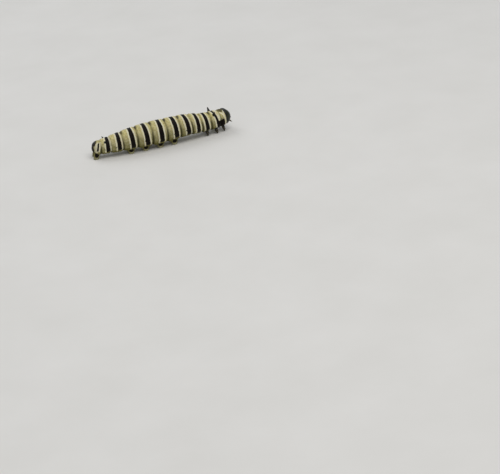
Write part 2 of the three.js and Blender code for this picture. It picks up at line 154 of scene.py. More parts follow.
def window(value, low, high, edge):
    """1 between low and high, with soft edges."""
    return smoothstep(value, low - edge, low + edge) * fall(value, high - edge, high + edge)


def unit(vectors):
    return vectors / np.maximum(np.linalg.norm(vectors, axis=-1, keepdims=True), 1e-12)


def full_turn(count):
    return np.linspace(0, 2 * math.pi, count, endpoint=False)


def cubic(knots, values, slopes, places, column=()):
    """A curve with set values and slopes at its knots; column gives each place its own curve."""
    i = np.clip(np.searchsorted(knots, places, side="right") - 1, 0, len(knots) - 2)
    step = knots[i + 1] - knots[i]
    t = np.clip((places - knots[i]) / step, 0, 1)
    end = t * t * (3 - 2 * t)
    weights = (1 - end, end, t * (1 - t) ** 2 * step, -t * t * (1 - t) * step)
    spare = (1,) * (values.ndim - 1 - len(column))
    a, b, c, d = (np.reshape(w, np.shape(w) + spare) for w in weights)
    here, after = (i, *column), (i + 1, *column)
    return a * values[here] + b * values[after] + c * slopes[here] + d * slopes[after]


def through(knots, values, places, column=()):
    """A smooth curve through values set at the knots, read at each place."""
    knots, values = np.asarray(knots, float), np.asarray(values, float)
    return cubic(knots, values, np.gradient(values, knots, axis=0), places, column)


class Waver:
    """Smooth seeded noise over the skin, from -1 to 1, that closes round the body."""

    def __init__(self, seed, along, around):
        self.along, self.around = along, around
        self.grid = np.random.default_rng(seed).uniform(-1, 1, (along + 2, around))

    def __call__(self, s, phi):
        u = np.clip(s / NECK, 0, 1) * self.along
        v = (phi / (2 * math.pi) % 1) * self.around
        i = np.minimum(u.astype(int), self.along)
        j = v.astype(int) % self.around
        next_j = (j + 1) % self.around
        fu = smoothstep(u - i, 0, 1)
        fv = smoothstep(v - np.floor(v), 0, 1)
        low = self.grid[i, j] * (1 - fv) + self.grid[i, next_j] * fv
        high = self.grid[i + 1, j] * (1 - fv) + self.grid[i + 1, next_j] * fv
        return low * (1 - fu) + high * fu


WAVER_LINES = Waver(3, 26, 14)
WAVER_DEPTH = Waver(4, 60, 22)
WAVER_FINE = Waver(5, 150, 60)
WAVER_ACROSS = Waver(6, 260, 26)
WAVER_MARKS = Waver(7, 90, 40)

# Slopes of the body's outline at the middles of the segments, each from its two neighbours
AFTER = np.minimum(np.arange(len(SEGMENTS)) + 1, len(SEGMENTS) - 1)
BEFORE = np.maximum(np.arange(len(SEGMENTS)) - 1, 0)
SLOPES = (RADII[AFTER] - RADII[BEFORE]) / (MIDDLES[AFTER] - MIDDLES[BEFORE])


def girth(s):
    """Half height of the body at s, a cubic through the middles of the segments."""
    return cubic(MIDDLES, RADII, SLOPES, s)


def tail_dome(s):
    return np.sqrt(np.maximum(1 - np.clip(1 - s / TAIL_DOME, 0, 1) ** 2, 0))


def from_top(phi):
    """Degrees from the top of the back, alike on both sides."""
    return np.degrees(np.abs(phi))


def swell(s):
    """0 at the ends of a segment, 1 in its middle."""
    i = np.clip(np.searchsorted(FRONTS, s), 0, len(SEGMENTS) - 1)
    return np.sin(math.pi * np.clip((s - REARS[i]) / LENGTHS[i], 0, 1))


def folds(s, phi):
    """Depth of the folds and rings that run round the body, in millimetres."""
    line = s + LINE_WAVER * WAVER_LINES(s, phi)
    strength = CREASE["mean"] + CREASE["vary"] * WAVER_DEPTH(s, phi)
    on_back = 1 - ANNULET["fade"] * smoothstep(from_top(phi), *ANNULET["fade_angles"])
    depth = np.zeros_like(s)
    for rear, front, length in zip(REARS, FRONTS, LENGTHS):
        depth += VALLEY["depth"] * bell(line, front, VALLEY["width"])
        depth += CREASE["depth"] * crease(line, front, CREASE["width"]) * strength
        if length < TAIL_DOME:
            continue
        for share in SWELL_RINGS:
            depth += SWELL_RING["depth"] * bell(line, rear + share * length, SWELL_RING["width"])
        for share in ANNULETS:
            ring = crease(line, rear + share * length, ANNULET["width"])
            depth += ANNULET["depth"] * ring * strength * on_back
    return depth * girth(s) / RADII.max()


def plain_radius(s, phi):
    """Distance from the body's centre line to its skin, without folds."""
    degrees = from_top(phi)
    flattened = 1 - BELLY_FLATNESS * smoothstep(degrees, BELLY_STARTS_AT, 180)
    side = SIDE_FOLD["height"] * bell(degrees, SIDE_FOLD["angle"], SIDE_FOLD["spread"])
    return girth(s) * flattened + side * swell(s)


def side_creases(s, phi):
    """Depth of the creases that run along the flank, broken at each segment's end."""
    degrees = from_top(phi) + SIDE_CREASE["waver"] * WAVER_LINES(s, phi)
    depth = sum(deep * crease(degrees, at, SIDE_CREASE["width"]) for at, deep in SIDE_CREASES)
    return depth * swell(s) * (SIDE_CREASE["mean"] + SIDE_CREASE["vary"] * WAVER_DEPTH(s, phi))


# Places of the small bumps that carry the longer bristles, in two rings on each segment
BUMPS = [
    (rear + share * length, side * math.radians(angle))
    for rear, length in zip(REARS[1:], LENGTHS[1:])
    for share, angles in BUMP_RINGS
    for angle in angles
    for side in (-1, 1)
]


def bumps(s, phi):
    rise = np.zeros_like(s)
    around = girth(s)
    for at, angle in BUMPS:
        near = np.abs(s - at) < 3 * BUMP["radius"]
        across = (phi[near] - angle) * around[near]
        rise[near] += np.exp(-((s[near] - at) ** 2 + across**2) / BUMP["radius"] ** 2)
    return BUMP["height"] * rise


def skin_radius(s, phi):
    relief = bumps(s, phi) - folds(s, phi) - side_creases(s, phi) - SKIN_INSET
    relief += WRINKLES["fine"] * WAVER_FINE(s, phi) + WRINKLES["across"] * WAVER_ACROSS(s, phi)
    return (plain_radius(s, phi) + relief) * tail_dome(s)


def body_frame(s):
    """The body's own axes at s: centres, and unit vectors ahead and to the left."""
    s = np.asarray(s, float)
    half = BODY_LENGTH / 2
    x = s - half
    share = np.abs(x) / half
    end = np.where(x > 0, BELLY_CLEAR["neck"], BELLY_CLEAR["tail"])
    clear = BELLY_CLEAR["middle"] + (end - BELLY_CLEAR["middle"]) * share ** BELLY_CLEAR["power"]
    arch = HUMP["height"] * bell(s, HUMP["at"], HUMP["spread"])
    z = clear + girth(s) * (1 - BELLY_FLATNESS) + arch
    heading = np.arctan(2 * BOW * x / half**2)
    centre = np.stack([x + MIDDLE_AHEAD, BOW * share**2 + MIDDLE_LEFT, z], axis=-1)
    level = np.zeros_like(x)
    fore = np.stack([np.cos(heading), np.sin(heading), level], axis=-1)
    left = np.stack([-np.sin(heading), np.cos(heading), level], axis=-1)
    return centre, fore, left


def on_axes(s, radius, phi):
    centre, _, left = body_frame(s)
    return centre + radius[..., None] * (np.sin(phi)[..., None] * left + np.cos(phi)[..., None] * UP)


def skin_point(s, phi, lift=0.0):
    """A place on the skin without its finest relief, or lifted off it."""
    s, phi = np.broadcast_arrays(np.asarray(s, float), np.asarray(phi, float))
    flat_s, flat_phi = s.ravel(), phi.ravel()
    plain = plain_radius(flat_s, flat_phi) - folds(flat_s, flat_phi) - SKIN_INSET
    radius = plain * tail_dome(flat_s) + lift
    return on_axes(flat_s, radius, flat_phi).reshape(*s.shape, 3)


# Meshes from arrays


def loft(rings, first, last):
    """Points and faces of one closed body: rings (K, N, 3) and a cap point at each end."""
    rings = np.asarray(rings)
    count, sides = rings.shape[:2]
    points = np.concatenate([rings.reshape(-1, 3), [first], [last]])
    index = np.arange(count * sides).reshape(count, sides)
    after = np.roll(index, -1, axis=1)
    quads = np.stack([index[:-1], after[:-1], after[1:], index[1:]], axis=-1).reshape(-1, 4)
    cap = np.full(sides, count * sides)
    near = np.stack([cap, after[0], index[0]], axis=-1)
    far = np.stack([index[-1], after[-1], cap + 1], axis=-1)
    faces = quads.tolist() + near.tolist() + far.tolist()
    if volume(points, faces) < 0:
        faces = [face[::-1] for face in faces]
    return points, faces


def volume(points, faces):
    triangles = np.array([(f[0], f[k], f[k + 1]) for f in faces for k in range(1, len(f) - 1)])
    a, b, c = (points[triangles[:, k]] for k in range(3))
    return float(np.einsum("ij,ij->", a, np.cross(b, c)) / 6)


def joined(shapes):
    points, faces, start = [], [], 0
    for some_points, some_faces in shapes:
        points.append(some_points)
        faces += [[i + start for i in face] for face in some_faces]
        start += len(some_points)
    return np.concatenate(points), faces


def add_piece(name, shape, values, material, slot, replaced=(), uv=None):
    """Makes a smooth mesh piece, with its named values, that rides on the still body."""
    points, faces = shape
    mesh = bpy.data.meshes.new(name)
    mesh.from_pydata((points * METRES).tolist(), [], faces)
    mesh.polygons.foreach_set("use_smooth", [True] * len(mesh.polygons))
    for key, numbers in values.items():
        layer = mesh.attributes.new(key, "FLOAT", "POINT")
        layer.data.foreach_set("value", np.asarray(numbers, np.float32))
    if uv is not None:
        corners = np.empty(len(mesh.loops), np.int32)
        mesh.loops.foreach_get("vertex_index", corners)
        mesh.uv_layers.new(name="OFBake").data.foreach_set("uv", uv[corners].ravel())
    mesh.materials.append(material)
    piece = bpy.data.objects.new(name, mesh)
    bpy.context.scene.collection.objects.link(piece)
    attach(piece, "root")
    if replaced:
        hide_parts(*replaced)


# Markings, with some painted shade, as smooth values at each point of the skin

# Each black band: its half width, how far it stands ahead of the frame's place for it, how far
# it leans ahead going down, and the angle where it ends
BAND_SHAPES = {
    "mesothorax": (0.075, -0.09, 0.15, 140),
    "metathorax": (0.112, -0.096, 0.06, 126),
    "abdomen_1": (0.112, -0.024, 0.02, 128),
    "abdomen_2": (0.126, -0.032, 0.09, 124),
    "abdomen_3": (0.13, 0.005, 0.05, 118),
    "abdomen_4": (0.13, 0.0, 0.0, 124),
    "abdomen_5": (0.13, -0.03, 0.07, 124),
    "abdomen_6": (0.126, 0.02, 0.05, 124),
    "abdomen_7": (0.116, 0.08, 0.0, 116),
    "abdomen_8": (0.112, 0.1, -0.02, 114),
}

# The same with the places worked out: place, half width, lean, and the angles between which it
# runs. All but the short last one, near the tail, run on over the back.
OVER_THE_BACK = -10
TAIL_BAND = (0.484, 0.05, -0.23, 34, 96)
BAND_MARKS = [
    (BANDS[NAMES.index(name)] + ahead, half, lean, OVER_THE_BACK, low)
    for name, (half, ahead, lean, low) in BAND_SHAPES.items()
]
BAND_MARKS.append(TAIL_BAND)
LEAN_SPAN = 115
BAND_ON_TOP = 0.84
BAND_WIDENS = [(0.16, 12, 48), (0.08, 55, 108)]
BAND_RAGGED = 0.008

# The cream line beside a band, by distance from its edge: from, to and edge; and the angles,
# counted from the band's low end and from its top, between which the line fades out
CREAM_LINE = (-0.02, 0.085, 0.02)
CREAM_LINE_LOW = (-2, 14)
CREAM_LINE_TOP = (-14, -4)

# The dark dashes over the folds of the back, by the segment behind them, and their strength
DASHES = {
    "abdomen_7": 0.8,
    "abdomen_6": 0.95,
    "abdomen_5": 1.0,
    "abdomen_4": 1.0,
    "abdomen_3": 0.9,
    "metathorax": 0.9,
    "abdomen_1": 0.35,
    "mesothorax": 0.3,
}

# Oval marks, in millimetres over the skin: place, way round from the top, half length and
# half width. A dash's place is counted from its fold.
DASH = (0.02, 0.0, 0.09, 0.27)
OVER_TAIL_PLATE = (0.24, 0.0, 0.11, 0.24)
SHIELD_MARK = (NECK - 0.16, 0.0, 0.17, 0.3)
CREAM_HOLLOW = (NECK - 0.465, math.radians(32) * RADII[-1], 0.05, 0.17)

# Soft edges of the marks: how far they reach in and out from the outline
YOKE_EDGE = (-0.02, 0.02)
SHIELD_EDGE = (-0.02, 0.02)
HOLLOW_EDGE = (-0.02, 0.03)
TAIL_PLATE_EDGE = (-0.03, 0.02)
DASH_EDGE = (-0.04, 0.03)

# Half size of the black mark round a leg
LEG_MARK = 0.12

# The cream fork on each side of the first segment: places from the neck's edge, and angles
YOKE = {
    "front_arm": (-0.03, 18),
    "rear_arm": (-0.3, 28),
    "fork": (-0.12, 54),
    "side": (-0.06, 78),
    "low": (-0.045, 124),
}
YOKE_LINES = [("front_arm", "fork"), ("rear_arm", "fork"), ("fork", "side"), ("side", "low")]
YOKE_HALF = 0.048

# The cream field behind the fork: from, to and edge along the body, and the angles where it
# fades out; and the darker line in front of it
CREAM_PLATE = (NECK - 0.66, NECK - 0.375, 0.015)
CREAM_PLATE_ENDS = (74, 80)
CREAM_GAP = (NECK - 0.345, 0.026)
CREAM_GAP_ENDS = (68, 76)

# How strong that field is, and how much the hollow in it and the darker line take away
CREAM_SHARE = {"plate": 0.9, "hollow": 0.6, "gap": 0.9}

# The black shoulder: angles of its top and low edge, its ends, and where its top rises
SHOULDER = {"top": 82, "low": 134, "rear": NECK - 0.62, "front": NECK - 0.13}
SHOULDER |= {"rise": 7, "rise_at": (NECK - 0.22, 0.07)}

# The tail: its cream ring, from, to and edge, and the angles between which it sets in below
# the top and fades out; and the black patch under its end
TAIL_RING = (0.22, 0.36, 0.03)
TAIL_RING_LEAN = 0.1
TAIL_RING_TOP = (26, 40)
TAIL_RING_LOW = (104, 122)
TAIL_PATCH = {"front": 0.1, "low": 122}

# The ground: dark folds, partly a faint dark line between the segments and partly painted shade;
# a yellow back, fuller from abdomen_1 ahead; and olive flanks, partly their own tint and partly
# painted shade that deepens down the side, paler again on the belly. The angles are those
# between which each sets in or fades out.
FOLD_SHADE = {"half": 0.06, "on_top": 0.22, "angles": (40, 88)}
YELLOW_ANGLES = (25, 80)
YELLOW_SHARE = {"behind": 0.55, "more_ahead": 0.45}
FULL_YELLOW = (MIDDLES[NAMES.index("abdomen_1")] - 0.5, MIDDLES[NAMES.index("abdomen_1")] + 0.3)
# The olive is partly the flank's own tint and partly painted shade, deepening down the side to the low
# flank
OLIVE_ANGLES = {"flank": (56, 100), "low": (104, 126), "belly": (150, 174)}
OLIVE_SHARE = {"flank": 0.55, "low": 0.45}
OLIVE_RAGGED = 5
BELLY_PALER = 0.6


def unrolled(s, phi):
    """Degrees from the top, the same as a way over the skin, and millimetres to a degree."""
    radius = girth(s)
    return from_top(phi), np.abs(phi) * radius, math.pi / 180 * radius


def spot(s, arc, at_s, at_arc, half_s, half_arc):
    """Signed distance, about, to the edge of an oval spot."""
    size = np.hypot((s - at_s) / half_s, (arc - at_arc) / half_arc)
    return (size - 1) * min(half_s, half_arc)


def stroke(s, arc, start, end):
    """Distance to a straight line between two places of the cream fork."""
    ends = [np.array([NECK + ahead, math.radians(angle) * RADII[-1]]) for ahead, angle in (start, end)]
    along = ends[1] - ends[0]
    from_start = np.stack([s, arc], axis=-1) - ends[0]
    t = np.clip(from_start @ along / (along @ along), 0, 1)
    return np.linalg.norm(from_start - t[:, None] * along, axis=-1)


def lay(marks, key, value):
    """Adds one mark to those of its kind. Dark marks are distances, the others shares."""
    pick = np.minimum if key == "dark" else np.maximum
    marks[key] = pick(marks[key], value)


def first_segment_marks(s, phi, marks):
    """The cream fork, the brown shield within it and the black shoulder under it."""
    degrees, arc, per_degree = unrolled(s, phi)
    strokes = [stroke(s, arc, YOKE[start], YOKE[end]) for start, end in YOKE_LINES]
    yoke = np.minimum.reduce(strokes) - YOKE_HALF
    plate = window(s, *CREAM_PLATE) * fall(degrees, *CREAM_PLATE_ENDS)
    hollow = CREAM_SHARE["hollow"] * fall(spot(s, arc, *CREAM_HOLLOW), *HOLLOW_EDGE)
    plate *= CREAM_SHARE["plate"] - hollow
    lay(marks, "cream", plate)
    gap = CREAM_SHARE["gap"] * bell(s, *CREAM_GAP) * fall(degrees, *CREAM_GAP_ENDS)
    marks["cream"] *= 1 - gap
    lay(marks, "cream", fall(yoke, *YOKE_EDGE))
    shield = np.maximum(spot(s, arc, *SHIELD_MARK), -yoke)
    lay(marks, "smear", fall(shield, *SHIELD_EDGE))
    rise = SHOULDER["rise"] * bell(s, *SHOULDER["rise_at"])
    edges = [
        (SHOULDER["top"] - rise - degrees) * per_degree,
        (degrees - SHOULDER["low"]) * per_degree,
        SHOULDER["rear"] - s,
        s - SHOULDER["front"],
        -yoke,
    ]
    lay(marks, "dark", np.maximum.reduce(edges))


def band_marks(s, phi, marks):
    """The black bands, each with a cream line before and behind it."""
    degrees, _, per_degree = unrolled(s, phi)
    fuller = BAND_ON_TOP + sum(more * smoothstep(degrees, a, b) for more, a, b in BAND_WIDENS)
    for place, half, lean, high, low in BAND_MARKS:
        wide = half * fuller + BAND_RAGGED * WAVER_MARKS(s, phi)
        off = np.abs(s - place - lean * degrees / LEAN_SPAN) - wide
        ends = np.maximum(degrees - low, high - degrees) * per_degree
        lay(marks, "dark", np.maximum(off, ends))
        edge = window(off, *CREAM_LINE) * fall(degrees - low, *CREAM_LINE_LOW)
        lay(marks, "cream", edge * smoothstep(degrees - high, *CREAM_LINE_TOP))


def tail_marks(s, phi, marks):
    """A cream ring round the tail, a brown mark over its plate and black under it."""
    degrees, arc, per_degree = unrolled(s, phi)
    ring = window(s + TAIL_RING_LEAN * degrees / LEAN_SPAN, *TAIL_RING)
    ring = ring * fall(degrees, *TAIL_RING_LOW) * smoothstep(degrees, *TAIL_RING_TOP)
    lay(marks, "cream", ring)
    lay(marks, "smear", fall(spot(s, arc, *OVER_TAIL_PLATE), *TAIL_PLATE_EDGE))
    below = (degrees - TAIL_PATCH["low"]) * per_degree
    lay(marks, "dark", np.maximum(s - TAIL_PATCH["front"], below))


def markings(s, phi):
    """Values between 0 and 1 for each ground colour, and the distance to the black marks."""
    degrees, arc, _ = unrolled(s, phi)
    line = s + 0.5 * LINE_WAVER * WAVER_LINES(s, phi)
    marks = {"dark": np.full_like(s, 1.0), "cream": np.zeros_like(s), "smear": np.zeros_like(s)}
    band_marks(s, phi, marks)
    ahead, *oval = DASH
    for name, strength in DASHES.items():
        dash = fall(spot(line, arc, FRONTS[NAMES.index(name)] + ahead, *oval), *DASH_EDGE)
        lay(marks, "smear", strength * dash)
    first_segment_marks(s, phi, marks)
    tail_marks(s, phi, marks)
    for name, scale in LEGS.values():
        at = MIDDLES[NAMES.index(name)]
        reach = LEG_MARK * scale
        lay(marks, "dark", spot(s, arc, at, math.radians(LEG_ANGLE) * girth(at), reach, reach))
    fuller = YELLOW_SHARE["behind"] + YELLOW_SHARE["more_ahead"] * smoothstep(s, *FULL_YELLOW)
    marks["yellow"] = fall(degrees, *YELLOW_ANGLES) * fuller
    # Dark at the folds between segments: partly the skin's own faint line, partly painted shade, stronger
    # down the flank
    fold = np.maximum.reduce([bell(line, front, FOLD_SHADE["half"]) for front in FRONTS[1:-1]])
    on_top = FOLD_SHADE["on_top"]
    marks["fold"] = fold * (on_top + (1 - on_top) * smoothstep(degrees, *FOLD_SHADE["angles"]))
    # Olive down the flank: partly its own tint, partly painted shade on the lower side; paler again on the
    # belly
    ragged = degrees + OLIVE_RAGGED * WAVER_MARKS(s, phi)
    olive = OLIVE_SHARE["flank"] * smoothstep(degrees, *OLIVE_ANGLES["flank"])
    olive += OLIVE_SHARE["low"] * smoothstep(ragged, *OLIVE_ANGLES["low"])
    marks["olive"] = olive * (1 - BELLY_PALER * smoothstep(degrees, *OLIVE_ANGLES["belly"]))
    return marks


# The skin, one closed surface with its feet grown out of it

COLUMNS = 196
ROWS_ON_DOME = 34
ROWS_ON_BODY = 448

# Rows and columns lie closer together at the feet, the folds and the low flank: how much
# closer, and over what reach
FOOT_ROWS = (0.7, 0.2)
FOLD_ROWS = (0.5, 0.05)
FLANK_COLUMNS = (1.5, 22)

# The rim at the neck, rolled in behind the head: how far ahead, and its share of the radius
ROLLED_RIM = [(0.014, 0.985), (0.022, 0.955), (0.018, 0.915)]
ROLLED_RIM += [(-0.005, 0.885), (-0.05, 0.865), (-0.11, 0.85)]

# A foot from the middle of its sole, at 0, through its root, at ROOT_EDGE, out over the skin:
# the places of its rings, then share and height of the sole's rings, and share and fullness
# of those between ankle and root
ROOT_EDGE = 1.15
ROOT_BLEND = 1.55
FOOT_KNOTS = [0.0, 0.3, 0.5, 0.57, 0.63, 0.69, 0.77, 0.84, 0.91, 0.98, 1.06, ROOT_EDGE, 1.3]
FOOT_PADS = [(0.0, 0.012), (0.55, 0.01), (0.86, 0.002)]
FOOT_WALLS = [(0.84, 1.02), (0.66, 1.05), (0.5, 0.99), (0.32, 1.03), (0.13, 1.03)]
FOOT_OUTSIDE = 1.18

# The dark patch on a foot's outer face, in the same measure
FOOT_PATCH = {"at": 0.94, "half": 0.2, "edge": 0.8, "within": 1.3}

# Where a foot's olive gives way to the body's pattern, counted from its root, and where its
# pale sole ends; and how far the black marks of the body draw back from it
FOOT_BLENDS = (-0.15, 0.1)
SOLE_ENDS = (0.68, 0.8)
FOOT_OLIVE = {"root": 0.75, "less_at_sole": 0.5}
MARKS_DRAW_BACK = 0.4


def spread_by(density, low, high, count):
    """Places between low and high, closer together where the density is high."""
    fine = np.linspace(low, high, 4000)
    weight = np.cumsum(density(fine))
    weight = (weight - weight[0]) / (weight[-1] - weight[0])
    return np.interp(np.linspace(0, 1, count), weight, fine)


def feet():
    """Each fleshy foot: its place, side and sizes."""
    places = [(MIDDLES[NAMES.index(f"abdomen_{n}")], PROLEG) for n in (3, 4, 5, 6)]
    places.append((ANAL_PROLEG_AT, ANAL_PROLEG))
    return [(at, side, foot) for side in (1, -1) for at, foot in places]


def skin_grid():
    turns = np.linspace(0, math.pi / 2, ROWS_ON_DOME + 1)[1:-1]
    dome = TAIL_DOME * (1 - np.cos(turns))

    def row_density(s):
        closer, reach = FOOT_ROWS
        density = 1 + sum(closer * bell(s, at, reach) for at, side, _ in feet() if side > 0)
        closer, reach = FOLD_ROWS
        return density + sum(closer * bell(s, front, reach) for front in FRONTS)

    def column_density(degrees):
        closer, reach = FLANK_COLUMNS
        return 1 + closer * bell(degrees, PROLEG["angle"], reach)

    body = spread_by(row_density, TAIL_DOME, NECK, ROWS_ON_BODY)
    half = spread_by(column_density, 0, 180, COLUMNS // 2 + 1)
    degrees = np.concatenate([half[:-1], -half[:0:-1]])
    return np.meshgrid(np.concatenate([dome, body]), np.radians(degrees), indexing="ij")


def grow_foot(points, s, phi, marks, at, side, foot):
    """Pulls the skin round one root out into a foot that stands on the floor."""
    centre, fore, left = body_frame(at)
    phi0 = side * math.radians(foot["angle"])
    reach = foot["around"] / (plain_radius(at, phi0) * tail_dome(at))
    along = (s - at) / foot["half"]
    around = (phi0 - phi) * side / reach
    rho = np.hypot(along, around)
    near = np.flatnonzero(rho < ROOT_BLEND)
    rho = rho[near]
    cos = along[near] / np.maximum(rho, 1e-9)
    sin = around[near] / np.maximum(rho, 1e-9)

    def on_skin(share):
        ring_s = at + share * foot["half"] * cos
        ring_phi = phi0 - side * share * reach * sin
        return on_axes(ring_s, skin_radius(ring_s, ring_phi), ring_phi)

    def level(half, across, height):
        ahead = half * cos - foot["back"]
        out = side * (foot["out"] + across * sin)
        ring = centre + ahead[:, None] * fore + out[:, None] * left
        ring[:, 2] = height
        return ring

    root, ankle = on_skin(np.ones_like(rho)), level(**ANKLE)
    pads = [level(FLAT["half"] * share, FLAT["across"] * share, height) for share, height in FOOT_PADS]
    walls = []
    for share, fullness in FOOT_WALLS:
        ring = root + share * (ankle - root)
        outward = (ring - ring.mean(axis=0)) * [1, 1, 0]
        walls.append(ring + (fullness - 1) * outward)
    rings = [*pads, level(**FLAT), level(**SOLE), ankle, *walls, root]
    rings.append(on_skin(np.full_like(rho, FOOT_OUTSIDE)))
    inside = rho < ROOT_EDGE
    outer = 1 + (rho - ROOT_EDGE) * (ROOT_BLEND - 1) / (ROOT_BLEND - ROOT_EDGE)
    grown = on_skin(np.maximum(outer, 1))
    grown[inside] = through(FOOT_KNOTS, rings, rho, (np.arange(len(rho)),))[inside]
    grown[:, 2] = np.maximum(grown[:, 2], 0)
    points[near] = grown
    low = fall(rho - ROOT_EDGE, *FOOT_BLENDS)
    tip = fall(rho, *SOLE_ENDS)
    off_middle = np.hypot((rho - FOOT_PATCH["at"]) / FOOT_PATCH["half"], np.arctan2(sin, cos) - math.pi / 2)
    patch = (off_middle - FOOT_PATCH["edge"]) * foot["patch"]
    dark = marks["dark"][near]
    on_foot = np.minimum(dark + MARKS_DRAW_BACK * low, patch)
    marks["dark"][near] = np.where(rho < FOOT_PATCH["within"], on_foot, dark)
    marks["cream"][near] *= 1 - low
    marks["fold"][near] *= 1 - low
    olive = FOOT_OLIVE["root"] - FOOT_OLIVE["less_at_sole"] * tip
    marks["olive"][near] = marks["olive"][near] * (1 - low) + low * olive
    marks["sole"][near] = np.maximum(marks["sole"][near], tip)


def build_skin():
    s, phi = skin_grid()
    shape = s.shape
    s, phi = s.ravel(), phi.ravel()
    points = on_axes(s, skin_radius(s, phi), phi)
    marks = markings(s, phi)
    marks["sole"] = np.zeros_like(s)
    # Painted shade: the depth of the folds and creases, which darkens the skin's colour there
    marks["depth"] = np.clip((folds(s, phi) + side_creases(s, phi)) / 0.08, 0, 1)
    for at, side, foot in feet():
        grow_foot(points, s, phi, marks, at, side, foot)
    rings = points.reshape(*shape, 3)
    centre, fore, _ = body_frame(NECK)
    rolled = [centre + (rings[-1] - centre) * scale + ahead * fore for ahead, scale in ROLLED_RIM]
    grid = np.concatenate([rings, rolled])
    deepest = centre + (ROLLED_RIM[-1][0] - 0.02) * fore
    skin = loft(grid, body_frame(0.0)[0], deepest)
    for key, numbers in marks.items():
        rim_values = np.tile(numbers.reshape(shape)[-1], len(ROLLED_RIM))
        marks[key] = np.concatenate([numbers, rim_values, [numbers[0], 0.0]])
    return skin, marks, s, phi, grid


# Shader graphs


class Graph:
    """A material's nodes, with one short call for each kind that the looks use."""

    def __init__(self, name):
        self.material = bpy.data.materials.new(name)
        self.material.use_nodes = True
        self.tree = self.material.node_tree
        self.shader = self.tree.nodes["Principled BSDF"]
        self.place = None

    def node(self, kind, inputs, **settings):
        """Makes a node of one kind and feeds its inputs, each a number, a colour or a link."""
        made = self.tree.nodes.new(kind)
        for key, value in settings.items():
            setattr(made, key, value)
        for key, value in inputs.items():
            self.feed(made.inputs[key], value)
        return made

    def feed(self, socket, value):
        if isinstance(value, bpy.types.NodeSocket):
            self.tree.links.new(value, socket)
        else:
            socket.default_value = value

    def value(self, name):
        return self.node("ShaderNodeAttribute", {}, attribute_name=name).outputs["Fac"]

    def math(self, operation, *numbers):
        inputs = dict(enumerate(numbers))
        return self.node("ShaderNodeMath", inputs, operation=operation).outputs[0]

    def step(self, value, low, high):
        """0 below low, 1 above high, smooth between; also with low above high."""
        start, end = (0.0, 1.0) if low < high else (1.0, 0.0)
        inputs = {"Value": value, "From Min": min(low, high), "From Max": max(low, high)}
        inputs |= {"To Min": start, "To Max": end}
        made = self.node("ShaderNodeMapRange", inputs, interpolation_type="SMOOTHSTEP")
        return made.outputs["Result"]

    def where(self, stretch):
        """Place on the object in millimetres, stretched along its axes."""
        if self.place is None:
            self.place = self.node("ShaderNodeTexCoord", {}).outputs["Object"]
        inputs = {0: self.place, 1: tuple(k / METRES for k in stretch)}
        return self.node("ShaderNodeVectorMath", inputs, operation="MULTIPLY").outputs[0]

    def noise(self, scale, detail=3.0, roughness=0.55, stretch=(1.0, 1.0, 1.0), distortion=0.0):
        inputs = {"Vector": self.where(stretch), "Scale": scale, "Detail": detail}
        inputs |= {"Roughness": roughness, "Distortion": distortion}
        return self.node("ShaderNodeTexNoise", inputs).outputs["Fac"]

    def cells(self, scale):
        inputs = {"Vector": self.where((1.0, 1.0, 1.0)), "Scale": scale}
        return self.node("ShaderNodeTexVoronoi", inputs, feature="F1").outputs["Distance"]

    def mix(self, factor, a, b, blend="MIX"):
        inputs = {0: factor, 6: a, 7: b}
        return self.node("ShaderNodeMix", inputs, data_type="RGBA", blend_type=blend).outputs[2]

    def over(self, ground, mark, colour, strength=1.0, blend="MIX"):
        """Lays a colour over the ground, as far as the mesh carries the mark."""
        return self.mix(self.math("MULTIPLY", self.value(mark), strength), ground, colour, blend)

    def uneven(self, low, span, scale, detail=3.0):
        """A value that drifts over the surface, between low and low + span."""
        return self.math("MULTIPLY_ADD", self.noise(scale, detail), span, low)

    def relief(self, *layers):
        """A normal bumped by layers of heights, each with its size in millimetres."""
        normal = None
        for height, millimetres in layers:
            inputs = {"Height": height, "Distance": millimetres * METRES, "Strength": 1.0}
            if normal is not None:
                inputs["Normal"] = normal
            normal = self.node("ShaderNodeBump", inputs).outputs["Normal"]
        return normal

    def surface(self, **settings):
        for name, value in settings.items():
            self.feed(self.shader.inputs[name.replace("_", " ")], value)


FLANK = srgb(191, 183, 141)
BACK = srgb(218, 206, 140)
CREAM = srgb(224, 217, 184)
FOLD_LINE_AND_SHADE = srgb(56, 53, 14)
# Olive of the flanks, also laid on their lower part as painted shade
OLIVE = srgb(108, 104, 42)
BLACK = srgb(6, 3, 0)
BROWN_BLACK = srgb(17, 10, 2)
SMEAR = srgb(52, 46, 22)
SOLE_PALE = srgb(158, 154, 120)
MOTTLE_TINT = srgb(218, 214, 196)
SPECKLE_TINT = srgb(168, 158, 112)
CREASE_SHADE = srgb(96, 90, 52)
# Colour multiplied into the folds and creases as painted shade
BRISTLE_TINT = srgb(22, 17, 9)
SOFT_JOINT = srgb(118, 106, 66)
FACE_YELLOW = srgb(198, 186, 96)


